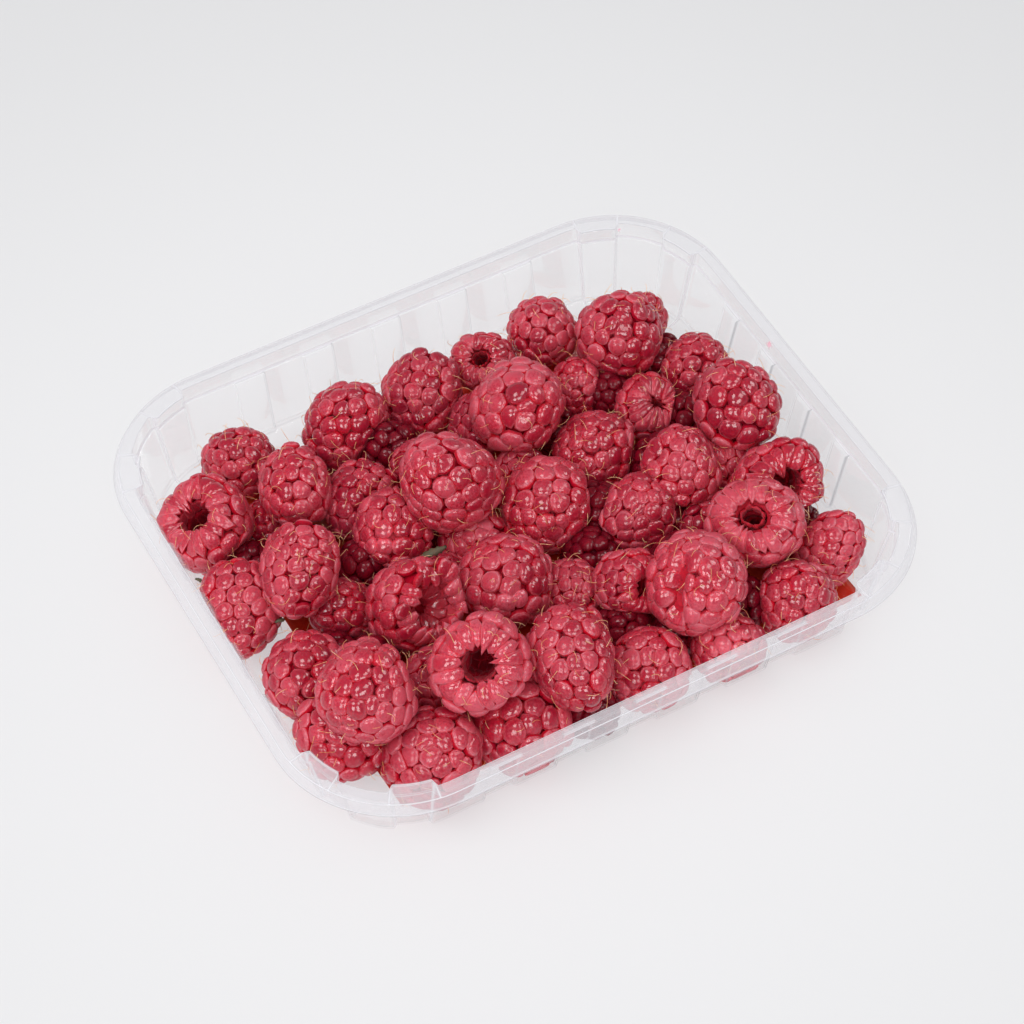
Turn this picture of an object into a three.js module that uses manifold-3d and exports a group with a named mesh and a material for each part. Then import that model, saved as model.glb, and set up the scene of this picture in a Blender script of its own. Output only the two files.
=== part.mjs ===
// A punnet of raspberries: a shallow clear tray with a turned-down rim and ribbed walls,
// a thin cushion pad on its floor, and a heap of fresh raspberries.
// Units are millimetres, +Z is up. The origin is at the middle of the tray's foot, and the
// tray's long side runs along X.
import * as THREE from 'three';
import { mergeVertices } from 'three/addons/utils/BufferGeometryUtils.js';
import Module from 'manifold-3d';

const wasm = await Module();
wasm.setup();

// ---- driving dimensions ----
const TRAY_LENGTH = 180;
const TRAY_WIDTH = 154.5;
const CORNER_RADIUS = 33.8;
const SHEET = 0.5;

// Heights above the foot, and how far each edge lies inside the tray's outline.
const LIP_HEIGHT = 21.7;
const BEAD_OUTER = { inset: 1.4, height: 24.8 };
const BEAD_INNER = { inset: 4.9, height: 25.1 };
const LEDGE = { inset: 5.8, height: 20.4 };
const LEDGE_STEP = 0.1;
const WALL_FOOT = { inset: 9.7, height: 1.3 };
const FLOOR_EDGE = { inset: 12.2, height: SHEET };

// Upright ribs stand in from the walls; wider lugs stand in at the corners.
const RIB_DEPTH = 1.1;
const RIB_SLOPE = 0.9;
const LONG_RIBS = { count: 5, pitch: 20.5, width: 8.8 };
const SHORT_RIBS = { count: 4, pitch: 18.3, width: 6.6 };
const LUG_AT = [20, 70];
const LUG_HALF_ANGLE = 12.5;
const LUG_SLOPE = 2.5;
const LUG_SHARES = [-1, -0.35, 0.35, 1];
const LUG_DEPTH = 1.4;
const LUG_DEPTH_AT_BEAD = 2.4;

// The cushion pad lies loose on the floor, a little off the middle.
const PAD = { length: 135, width: 115, thickness: 1.2, radius: 3, steps: 5, x: 3.5, y: -1.5 };
const GAP = 0.3;

// The heap stands on the pad and keeps off the walls.
const HEAP_FLOOR = SHEET + GAP + PAD.thickness + GAP;
const WALL_GAP = 0.5;
const ROOM_TOP = 70;
const ROOM_STEPS = 6;
const SQUASH = 0.84;
const SIT = 0.92;
const BERRY_SIDES = 10;
const UNDER_SIDES = 8;
// Berries are let down along lines that meet here, high over the near left corner.
const POUR_POINT = new THREE.Vector3(-248, -461.2, 667.3);

// One row for each berry that shows, in the order in which they are let down:
// x and y where its line crosses the rim's height, width, length, the heading and
// the rise of its tip in degrees, and whether its hollow end shows.
const BERRIES = [
  [-58, 43, 18, 18.5, 125, 65, false],
  [14, 41, 17, 16.5, 60, -65, true],
  [58, 33, 15.5, 17.5, 25, 65, false],
  [3, 24, 17.5, 17.5, -115, 70, false],
  [-18, 18, 16.5, 17.5, -115, 70, false],
  [3, 2, 17.5, 17.5, -115, 70, false],
  [52, -20, 19.5, 19.5, -115, 70, false],
  [36, -36, 16.5, 16.5, -115, 70, false],
  [-47, -45, 18.5, 18.5, -115, 70, false],
  [-16, -11, 19.5, 18.5, -75, 65, false],
  [-61, 21, 13, 13, -115, 70, false],
  [62, 12, 18.5, 19, -55, 75, false],
  [61, -58, 17.5, 21.5, 0, 70, false],
  [-6, 39, 21.5, 20, -130, 0, false],
  [-27, 40, 24, 24, 60, 75, false],
  [-77, -2, 19.5, 24, -115, -15, false],
  [32, 42, 17.5, 17, -120, 35, false],
  [-37, 15, 18.5, 21.5, -145, 5, false],
  [-3, -37, 17, 18.5, -45, 50, false],
  [-55, -13, 17, 19.5, -150, 65, false],
  [10, -42, 18.5, 19.5, 130, -35, true],
  [-29, -17, 13, 14, -115, 70, false],
  [23, -71, 19.5, 18.5, -55, 75, false],
  [2, -67, 22.5, 19.5, -80, 80, false],
  [-74, -28, 21.5, 22.5, -140, 25, false],
  [-75, -50, 24, 18.5, -125, 0, false],
  [-57, -64, 25.5, 22, -120, 70, false],
  [-33, -66, 26.5, 20.5, -80, 60, false],
  [44, 6, 18.5, 18.5, 130, -55, true],
  [31, 21, 15.5, 17, 55, 85, false],
  [-50, 27, 19.5, 21.5, -115, 15, false],
  [-74, 26, 25.5, 24.5, 15, -60, true],
  [42, -16, 21, 20.5, 115, 75, false],
  [-35, 2, 21.5, 17.5, -165, 25, false],
  [61, -32, 24, 22, 70, -50, true],
  [45, -67, 21, 19.5, -75, 70, false],
  [-60, 2, 20.5, 23.5, -120, -10, false],
  [-14, -56, 22, 25, -105, 5, false],
  [24, -24, 21.5, 19.5, -135, 70, false],
  [24, 0, 22.5, 19.5, -140, 25, false],
  [66, -5, 24.5, 20, -125, 40, false],
  [51, 32, 24, 23.5, -120, 60, false],
  [-41, -21, 24.5, 24.5, 120, -40, true],
  [5, -11, 25.5, 21.5, -110, 25, false],
  [48, -42, 25, 24, 35, -70, true],
  [15, 23, 25.5, 25.5, -120, 40, false],
  [-13, 10, 26, 27, -115, 75, false],
  [-16, -27, 24.5, 24, -110, 35, false],
  [-63, -40, 25, 24, -120, 50, false],
  [-33, -45, 27, 24, 60, -50, true],
  [26, -50, 26, 27.5, -105, 55, false],
];

// Berries under the ones that show: x and y of the middle, and the width.
const UNDER_BERRIES = [
  [-10, -46, 20],
  [-26, -38, 20],
  [30, -36, 20],
  [70, 2, 20],
  [-52, 14, 20],
  [-54, -24, 18],
  [24, 38, 18],
  [38, -50, 16],
  [44, 0, 16],
  [-18, 14, 16],
  [-42, 42, 16],
  [20, -50, 14],
  [-56, -40, 14],
  [-4, 18, 14],
  [26, 24, 14],
];

// A berry's outline from its hollow end to its tip, as shares of half its length and
// half its width.
const BERRY_OUTLINE = [[-0.84, 0.8], [-0.35, 1.0], [0.25, 0.93], [0.72, 0.62]];
const BERRY_TIP = 0.97;
const HOLLOW_RIM = [-1.0, 0.52];
const HOLLOW_MOUTH = [-0.84, 0.36];
const HOLLOW_DEPTH = 0.25;
const CLOSED_END = -0.92;

// The core under the berries: a low bed on the pad, and a mound in its middle.
const BED = { length: 130, width: 110, radius: 10, height: 3.5, taper: 2 };
const BLOCK_STEPS = 4;
const MOUND = { length: 112, width: 94, radius: 24, height: 12.5, taper: 21 };

// Colour, roughness and opacity of each piece.
const FINISH = {
  tray: { color: 0xeef0f2, roughness: 0.08, opacity: 0.25 },
  pad: { color: 0xd0341c, roughness: 0.35, opacity: 1 },
  berries: { color: 0xb02a3c, roughness: 0.5, opacity: 1 },
};

// ---- helpers ----
const toRadians = THREE.MathUtils.degToRad;

/** A point and outward normal at each station along a rounded rectangle's outline. */
function outlineStations(length, width, radius, sideStations, cornerStations) {
  const reach = [length / 2 - radius, width / 2 - radius];
  const stations = [];
  for (let quarter = 0; quarter < 4; quarter += 1) {
    const turn = (quarter * Math.PI) / 2;
    const along = quarter % 2 === 0 ? reach[0] : reach[1];
    const out = quarter % 2 === 0 ? reach[1] : reach[0];
    const place = (forward, outward) => new THREE.Vector2(forward, -outward)
      .rotateAround(new THREE.Vector2(), turn);
    for (const side of sideStations(along, quarter)) {
      stations.push({
        point: place(side.at, out + radius),
        normal: place(0, 1),
        rib: side.rib,
        lug: 0,
      });
    }
    for (const corner of cornerStations) {
      const angle = toRadians(corner.at);
      const normal = place(Math.sin(angle), Math.cos(angle));
      stations.push({
        point: place(along, out).addScaledVector(normal, radius),
        normal,
        rib: 0,
        lug: corner.lug,
      });
    }
  }
  return stations;
}

/** Stations at both edges of each rib on one straight side. */
function ribStations(along, quarter) {
  const ribs = quarter % 2 === 0 ? LONG_RIBS : SHORT_RIBS;
  const stations = [];
  for (let index = 0; index < ribs.count; index += 1) {
    const middle = (index - (ribs.count - 1) / 2) * ribs.pitch;
    const foot = ribs.width / 2 + RIB_SLOPE / 2;
    const head = ribs.width / 2 - RIB_SLOPE / 2;
    stations.push({ at: middle - foot, rib: 0 });
    stations.push({ at: middle - head, rib: 1 });
    stations.push({ at: middle + head, rib: 1 });
    stations.push({ at: middle + foot, rib: 0 });
  }
  return [{ at: -along, rib: 0 }, ...stations, { at: along, rib: 0 }];
}

/** Stations round a corner, with a lug on each side of its middle. */
function lugStations() {
  const stations = [];
  for (const middle of LUG_AT) {
    const face = LUG_HALF_ANGLE - LUG_SLOPE;
    stations.push({ at: middle - LUG_HALF_ANGLE, lug: 0 });
    for (const share of LUG_SHARES) stations.push({ at: middle + share * face, lug: 1 });
    stations.push({ at: middle + LUG_HALF_ANGLE, lug: 0 });
  }
  const half = stations.length / 2;
  return [...stations.slice(0, half), { at: 45, lug: 0 }, ...stations.slice(half)];
}

/** Plain stations round a corner. */
function arcStations(steps) {
  return Array.from({ length: steps - 1 }, (_, i) => ({ at: (90 * (i + 1)) / steps, lug: 0 }));
}

/** Only the two ends of a straight side. */
function plainStations(along) {
  return [{ at: -along, rib: 0 }, { at: along, rib: 0 }];
}

/** A closed solid lofted through rings of equal point counts, capped at both ends. */
function loftRings(rings) {
  const count = rings[0].length;
  const positions = rings.flat().flatMap((p) => [p.x, p.y, p.z]);
  const index = [];
  for (let ring = 0; ring < rings.length - 1; ring += 1) {
    for (let i = 0; i < count; i += 1) {
      const a = ring * count + i;
      const b = ring * count + ((i + 1) % count);
      index.push(a, b, b + count, a, b + count, a + count);
    }
  }
  for (const [ring, flip] of [[0, true], [rings.length - 1, false]]) {
    const middle = positions.length / 3;
    positions.push(0, 0, rings[ring][0].z);
    for (let i = 0; i < count; i += 1) {
      const a = ring * count + i;
      const b = ring * count + ((i + 1) % count);
      index.push(middle, ...(flip ? [b, a] : [a, b]));
    }
  }
  const geometry = new THREE.BufferGeometry();
  geometry.setAttribute('position', new THREE.Float32BufferAttribute(positions, 3));
  geometry.setIndex(index);
  return geometry;
}

/** The stations moved in by an inset, at a height, with rib and lug depths added. */
function ringAt(stations, { inset, height, rib = 0, lug = 0 }) {
  return stations.map((station) => {
    const depth = inset + rib * station.rib + lug * station.lug;
    const flat = station.point.clone().addScaledVector(station.normal, -depth);
    return new THREE.Vector3(flat.x, flat.y, height);
  });
}

/** A manifold-3d solid of a closed geometry. */
function toSolid(geometry) {
  const bare = geometry.clone();
  for (const name of Object.keys(bare.attributes)) {
    if (name !== 'position') bare.deleteAttribute(name);
  }
  const merged = mergeVertices(bare, 1e-4);
  const vertProperties = new Float32Array(merged.attributes.position.array);
  const triVerts = new Uint32Array(merged.index.array);
  return new wasm.Manifold(new wasm.Mesh({ numProp: 3, vertProperties, triVerts }));
}

/** The largest shell of a solid: sealed hollows are filled and loose scraps dropped. */
function outerShell(solid) {
  const mesh = solid.getMesh();
  const stride = mesh.numProp;
  const parent = Array.from({ length: mesh.vertProperties.length / stride }, (_, i) => i);
  const root = (i) => {
    let at = i;
    while (parent[at] !== at) at = parent[at];
    parent[i] = at;
    return at;
  };
  for (let t = 0; t < mesh.triVerts.length; t += 3) {
    const first = root(mesh.triVerts[t]);
    parent[root(mesh.triVerts[t + 1])] = first;
    parent[root(mesh.triVerts[t + 2])] = first;
  }
  const corner = (v) => new THREE.Vector3().fromArray(mesh.vertProperties, v * stride);
  const volumes = new Map();
  const shells = new Map();
  for (let t = 0; t < mesh.triVerts.length; t += 3) {
    const vertices = Array.from(mesh.triVerts.slice(t, t + 3));
    const key = root(vertices[0]);
    const [a, b, c] = vertices.map(corner);
    volumes.set(key, (volumes.get(key) ?? 0) + a.dot(b.cross(c)) / 6);
    if (!shells.has(key)) shells.set(key, []);
    shells.get(key).push(...vertices);
  }
  const largest = [...volumes.keys()].reduce((p, q) => (volumes.get(q) > volumes.get(p) ? q : p));
  const positions = shells.get(largest).flatMap((v) => corner(v).toArray());
  const geometry = new THREE.BufferGeometry();
  geometry.setAttribute('position', new THREE.Float32BufferAttribute(positions, 3));
  return mergeVertices(geometry, 1e-5);
}

// ---- the tray ----

/** The tray: one thin sheet from the floor up the walls, over the bead and down the lip. */
function trayGeometry() {
  const stations = outlineStations(TRAY_LENGTH, TRAY_WIDTH, CORNER_RADIUS, ribStations, lugStations());
  const wall = { rib: RIB_DEPTH, lug: LUG_DEPTH };
  const inside = [
    { ...FLOOR_EDGE, ...wall },
    { ...WALL_FOOT, ...wall },
    { inset: LEDGE.inset + LEDGE_STEP, height: LEDGE.height - LEDGE_STEP, ...wall },
    { ...LEDGE, lug: LUG_DEPTH },
    { ...BEAD_INNER, lug: LUG_DEPTH_AT_BEAD },
    BEAD_OUTER,
    { inset: 0, height: LIP_HEIGHT },
  ];
  const outside = [
    { inset: SHEET, height: LIP_HEIGHT },
    { inset: BEAD_OUTER.inset + SHEET, height: BEAD_OUTER.height - SHEET },
    { inset: BEAD_INNER.inset - SHEET, height: BEAD_INNER.height - SHEET, lug: LUG_DEPTH_AT_BEAD },
    { inset: LEDGE.inset - SHEET, height: LEDGE.height - SHEET, lug: LUG_DEPTH },
    { inset: LEDGE.inset + LEDGE_STEP - SHEET, height: LEDGE.height - LEDGE_STEP - SHEET, ...wall },
    { inset: WALL_FOOT.inset - SHEET, height: WALL_FOOT.height - SHEET / 2, ...wall },
    { inset: FLOOR_EDGE.inset, height: 0, ...wall },
  ];
  return loftRings([...inside, ...outside].reverse().map((edge) => ringAt(stations, edge)));
}

// ---- the pad ----

/** The cushion pad: a thin plate with rounded corners. */
function padGeometry() {
  const corners = arcStations(PAD.steps);
  const stations = outlineStations(PAD.length, PAD.width, PAD.radius, plainStations, corners);
  const rings = [0, PAD.thickness].map((height) => ringAt(stations, { inset: 0, height }));
  return loftRings(rings);
}

// ---- the heap ----

/** The tip's direction for a heading and a rise in degrees. */
function tipDirection(heading, rise) {
  const level = Math.cos(toRadians(rise));
  return new THREE.Vector3(
    level * Math.cos(toRadians(heading)),
    level * Math.sin(toRadians(heading)),
    Math.sin(toRadians(rise)),
  );
}

/** Lets the berries down in order, each until it meets the floor or one already down. */
function settle(rows) {
  const down = [];
  for (const [x, y, width, length, heading, rise, open] of rows) {
    const radius = (width + length) / 4;
    const line = new THREE.Vector3(x, y, BEAD_INNER.height).sub(POUR_POINT).normalize();
    let travel = (HEAP_FLOOR + radius * SIT - POUR_POINT.z) / line.z;
    for (const other of down) {
      const reach = SQUASH * (radius + other.radius);
      const back = POUR_POINT.clone().sub(other.centre);
      const half = back.dot(line);
      const inside = half * half - (back.lengthSq() - reach * reach);
      if (inside > 0) travel = Math.min(travel, -half - Math.sqrt(inside));
    }
    const centre = POUR_POINT.clone().addScaledVector(line, travel);
    const tip = tipDirection(heading, rise);
    down.push({ centre, radius, width, length, tip, open, sides: BERRY_SIDES });
  }
  return down;
}

/** The berries underneath, standing on the floor of the heap. */
function underBerries(rows) {
  return rows.map(([x, y, width]) => ({
    centre: new THREE.Vector3(x, y, HEAP_FLOOR + (width / 2) * SIT),
    width,
    length: width,
    tip: new THREE.Vector3(0, 0, 1),
    open: false,
    sides: UNDER_SIDES,
  }));
}

/** One berry about its own axis, hollow end down, then turned and moved to its place. */
function berryGeometry({ centre, width, length, tip, open, sides }) {
  const end = open ? [[HOLLOW_DEPTH, 0], HOLLOW_MOUTH, HOLLOW_RIM] : [[CLOSED_END, 0]];
  const profile = [...end, ...BERRY_OUTLINE, [BERRY_TIP, 0]]
    .map(([along, across]) => new THREE.Vector2((across * width) / 2, (along * length) / 2));
  const geometry = new THREE.LatheGeometry(profile, sides);
  geometry.applyQuaternion(new THREE.Quaternion().setFromUnitVectors(new THREE.Vector3(0, 1, 0), tip));
  geometry.translate(centre.x, centre.y, centre.z);
  return geometry;
}

/** A low block on the heap's floor, drawn in by its taper at the top. */
function blockGeometry({ length, width, radius, height, taper }) {
  const corners = arcStations(BLOCK_STEPS);
  const stations = outlineStations(length, width, radius, plainStations, corners);
  const geometry = loftRings([
    ringAt(stations, { inset: 0, height: HEAP_FLOOR - GAP }),
    ringAt(stations, { inset: taper, height: HEAP_FLOOR + height }),
  ]);
  geometry.translate(PAD.x, PAD.y, 0);
  return geometry;
}

/** The room inside the tray that the heap may fill, clear of the ribs, lugs and pad. */
function roomGeometry() {
  const corners = arcStations(ROOM_STEPS);
  const stations = outlineStations(TRAY_LENGTH, TRAY_WIDTH, CORNER_RADIUS, plainStations, corners);
  const clear = LUG_DEPTH + WALL_GAP;
  const edges = [
    { inset: WALL_FOOT.inset + clear, height: HEAP_FLOOR },
    { inset: LEDGE.inset + clear, height: LEDGE.height },
    { inset: BEAD_INNER.inset + LUG_DEPTH_AT_BEAD + WALL_GAP, height: BEAD_INNER.height },
    { inset: BEAD_INNER.inset + LUG_DEPTH_AT_BEAD + WALL_GAP, height: ROOM_TOP },
  ];
  return loftRings(edges.map((edge) => ringAt(stations, edge)));
}

/** The heap: bed and mound with every berry fused on, kept inside the tray's room. */
function heapGeometry() {
  let heap = toSolid(blockGeometry(BED)).add(toSolid(blockGeometry(MOUND)));
  for (const berry of [...underBerries(UNDER_BERRIES), ...settle(BERRIES)]) {
    heap = heap.add(toSolid(berryGeometry(berry)));
  }
  return outerShell(heap.intersect(toSolid(roomGeometry())));
}

// ---- the model ----

/** A named mesh with its own plain material. */
function piece(name, geometry, finish) {
  geometry.computeVertexNormals();
  const transparent = finish.opacity < 1;
  const material = new THREE.MeshStandardMaterial({ ...finish, metalness: 0, transparent });
  const mesh = new THREE.Mesh(geometry, material);
  mesh.name = name;
  return mesh;
}

const punnet = new THREE.Group();
punnet.add(piece('tray', trayGeometry(), FINISH.tray));

const pad = piece('pad', padGeometry(), FINISH.pad);
pad.position.set(PAD.x, PAD.y, SHEET + GAP);
punnet.add(pad);

punnet.add(piece('berries', heapGeometry(), FINISH.berries));

export default punnet;
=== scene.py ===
"""A punnet of fresh raspberries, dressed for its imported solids.

The tray is a thin clear sheet, the pad a flat cushion of red film, and the heap is made of
single raspberries, each built drupelet by drupelet, let down into its place, pressed against
its neighbours and finished with its dry styles. All sizes are in metres, Z is up, and the
tray's long side runs along X.
"""

from __future__ import annotations

import logging
import math
from dataclasses import dataclass, field, replace
from enum import Enum

import bmesh
import bpy
import numpy as np
from mathutils import Matrix, Vector

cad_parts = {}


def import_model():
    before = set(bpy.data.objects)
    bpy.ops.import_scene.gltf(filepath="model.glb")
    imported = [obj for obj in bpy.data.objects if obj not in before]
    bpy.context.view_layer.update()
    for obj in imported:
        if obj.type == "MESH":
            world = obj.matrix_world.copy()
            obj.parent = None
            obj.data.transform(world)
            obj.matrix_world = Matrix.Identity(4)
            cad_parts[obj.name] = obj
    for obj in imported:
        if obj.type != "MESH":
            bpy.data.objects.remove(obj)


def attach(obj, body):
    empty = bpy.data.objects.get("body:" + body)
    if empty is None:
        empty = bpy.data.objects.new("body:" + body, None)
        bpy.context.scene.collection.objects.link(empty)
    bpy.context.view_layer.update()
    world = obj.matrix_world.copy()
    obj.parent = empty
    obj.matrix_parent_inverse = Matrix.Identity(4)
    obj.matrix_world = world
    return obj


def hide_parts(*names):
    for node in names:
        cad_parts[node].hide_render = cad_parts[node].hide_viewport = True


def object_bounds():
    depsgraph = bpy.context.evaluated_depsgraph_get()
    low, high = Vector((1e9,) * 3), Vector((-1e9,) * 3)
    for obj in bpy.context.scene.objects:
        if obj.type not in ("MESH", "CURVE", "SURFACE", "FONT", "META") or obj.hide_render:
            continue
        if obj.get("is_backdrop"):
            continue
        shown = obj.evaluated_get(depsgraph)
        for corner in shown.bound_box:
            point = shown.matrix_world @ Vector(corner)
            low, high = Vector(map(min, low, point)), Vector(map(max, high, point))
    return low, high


LOG = logging.getLogger("punnet")

MM = 0.001
ROOT = "root"
SKIN_ATTRIBUTE = "skin"
BEND_ATTRIBUTE = "bend"
TINY = 1e-9


# ---- shader expressions ----


class Signal:
    """A shader socket that takes part in Python expressions."""

    def __init__(self, graph: Graph, socket: bpy.types.NodeSocket) -> None:
        """Args:
            graph: The graph that new Math nodes go into.
            socket: The output socket that carries the value.
        """
        self.graph = graph
        self.socket = socket

    def _join(self, operation: str, first: object, second: object) -> Signal:
        """A Math node's result from two signals or numbers."""
        made = self.graph.node("ShaderNodeMath", {"operation": operation}, {0: first, 1: second})
        return Signal(self.graph, made.outputs[0])

    def __add__(self, other: object) -> Signal:
        """Self plus other."""
        return self._join("ADD", self, other)

    def __radd__(self, other: object) -> Signal:
        """Other plus self."""
        return self._join("ADD", other, self)

    def __sub__(self, other: object) -> Signal:
        """Self minus other."""
        return self._join("SUBTRACT", self, other)

    def __rsub__(self, other: object) -> Signal:
        """Other minus self."""
        return self._join("SUBTRACT", other, self)

    def __mul__(self, other: object) -> Signal:
        """Self times other."""
        return self._join("MULTIPLY", self, other)

    def __rmul__(self, other: object) -> Signal:
        """Other times self."""
        return self._join("MULTIPLY", other, self)

    def wave(self) -> Signal:
        """A sine of self, from 0 to 1."""
        return self._join("SINE", self, 0.0) * 0.5 + 0.5


class Graph:
    """The node graph of a material or a world, with one way to add nodes."""

    def __init__(self, owner: bpy.types.Material | bpy.types.World) -> None:
        """Args:
            owner: The new material or world, whose first nodes are cleared away.
        """
        owner.use_nodes = True
        self.owner = owner
        self.tree = owner.node_tree
        self.tree.nodes.clear()

    @classmethod
    def of_material(cls, name: str) -> Graph:
        """The graph of a new material."""
        return cls(bpy.data.materials.new(name))

    def node(
        self,
        kind: str,
        settings: dict[str, object] | None = None,
        inputs: dict[object, object] | None = None,
    ) -> bpy.types.Node:
        """Adds a node.

        Args:
            kind: The node's type, as Blender names it.
            settings: The node's own settings, set first.
            inputs: A value, a signal or a socket for each input, by name or number.

        Returns:
            The new node.
        """
        made = self.tree.nodes.new(kind)
        for name, value in (settings or {}).items():
            setattr(made, name, value)
        for key, value in (inputs or {}).items():
            target = made.inputs[key]
            if isinstance(value, Signal):
                self.tree.links.new(value.socket, target)
            elif isinstance(value, bpy.types.NodeSocket):
                self.tree.links.new(value, target)
            else:
                target.default_value = value
        return made

    def read(self, made: bpy.types.Node, output: object = 0) -> Signal:
        """A node's output as a signal."""
        return Signal(self, made.outputs[output])

    def coordinates(self) -> bpy.types.NodeSocket:
        """The piece's own coordinates."""
        return self.node("ShaderNodeTexCoord").outputs["Object"]

    def channels(self, attribute: str) -> list[Signal]:
        """The four channels of a colour attribute.

        Args:
            attribute: The attribute's name.

        Returns:
            Red, green, blue and alpha.
        """
        stored = self.node("ShaderNodeAttribute", {"attribute_name": attribute})
        parts = self.node("ShaderNodeSeparateColor", inputs={0: stored.outputs["Color"]})
        return [*(self.read(parts, channel) for channel in range(3)), self.read(stored, "Alpha")]

    def noise(self, scale: float, detail: float = 2.0, roughness: float = 0.5) -> Signal:
        """Noise over the piece's own coordinates.

        Args:
            scale: Waves a metre.
            detail: Octaves.
            roughness: How strong the finer octaves are.

        Returns:
            The noise, from 0 to 1.
        """
        place = self.coordinates()
        waves = {"Vector": place, "Scale": scale, "Detail": detail, "Roughness": roughness}
        return self.read(self.node("ShaderNodeTexNoise", inputs=waves))

    def ease(self, value: Signal, low: float, high: float) -> Signal:
        """A smooth step from 0 at low to 1 at high."""
        ends = {0: value, 1: low, 2: high, 3: 0.0, 4: 1.0}
        return self.read(
            self.node("ShaderNodeMapRange", {"interpolation_type": "SMOOTHSTEP"}, ends)
        )

    def mix(self, first: object, second: object, share: object) -> Signal:
        """The colour between two: the first at a share of 0, the second at 1."""
        settings = {"data_type": "RGBA", "clamp_factor": True}
        return self.read(self.node("ShaderNodeMix", settings, {0: share, 6: first, 7: second}), 2)

    def bump(self, height: Signal, distance: float) -> Signal:
        """A normal from a height signal, with its full height in metres."""
        made = self.node("ShaderNodeBump", inputs={"Distance": distance, "Height": height})
        return self.read(made, "Normal")

    def clear(self, colour: tuple) -> bpy.types.Node:
        """A see-through shader of a colour."""
        return self.node("ShaderNodeBsdfTransparent", inputs={0: colour})

    def blend(self, share: object, first: bpy.types.Node, second: bpy.types.Node) -> bpy.types.Node:
        """A shader between two: the first at a share of 0, the second at 1."""
        ends = {0: share, 1: first.outputs[0], 2: second.outputs[0]}
        return self.node("ShaderNodeMixShader", inputs=ends)

    def finish(self, shader: bpy.types.Node) -> bpy.types.Material | bpy.types.World:
        """Connects the last shader to the output.

        Args:
            shader: The last shader.

        Returns:
            The finished material or world.
        """
        kind = "World" if isinstance(self.owner, bpy.types.World) else "Material"
        output = self.node(f"ShaderNodeOutput{kind}", inputs={0: shader.outputs[0]})
        output.is_active_output = True
        return self.owner


def opaque(red: float, green: float, blue: float) -> tuple[float, float, float, float]:
    """A linear colour with full alpha."""
    return (red, green, blue, 1.0)


# ---- finishes ----


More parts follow.
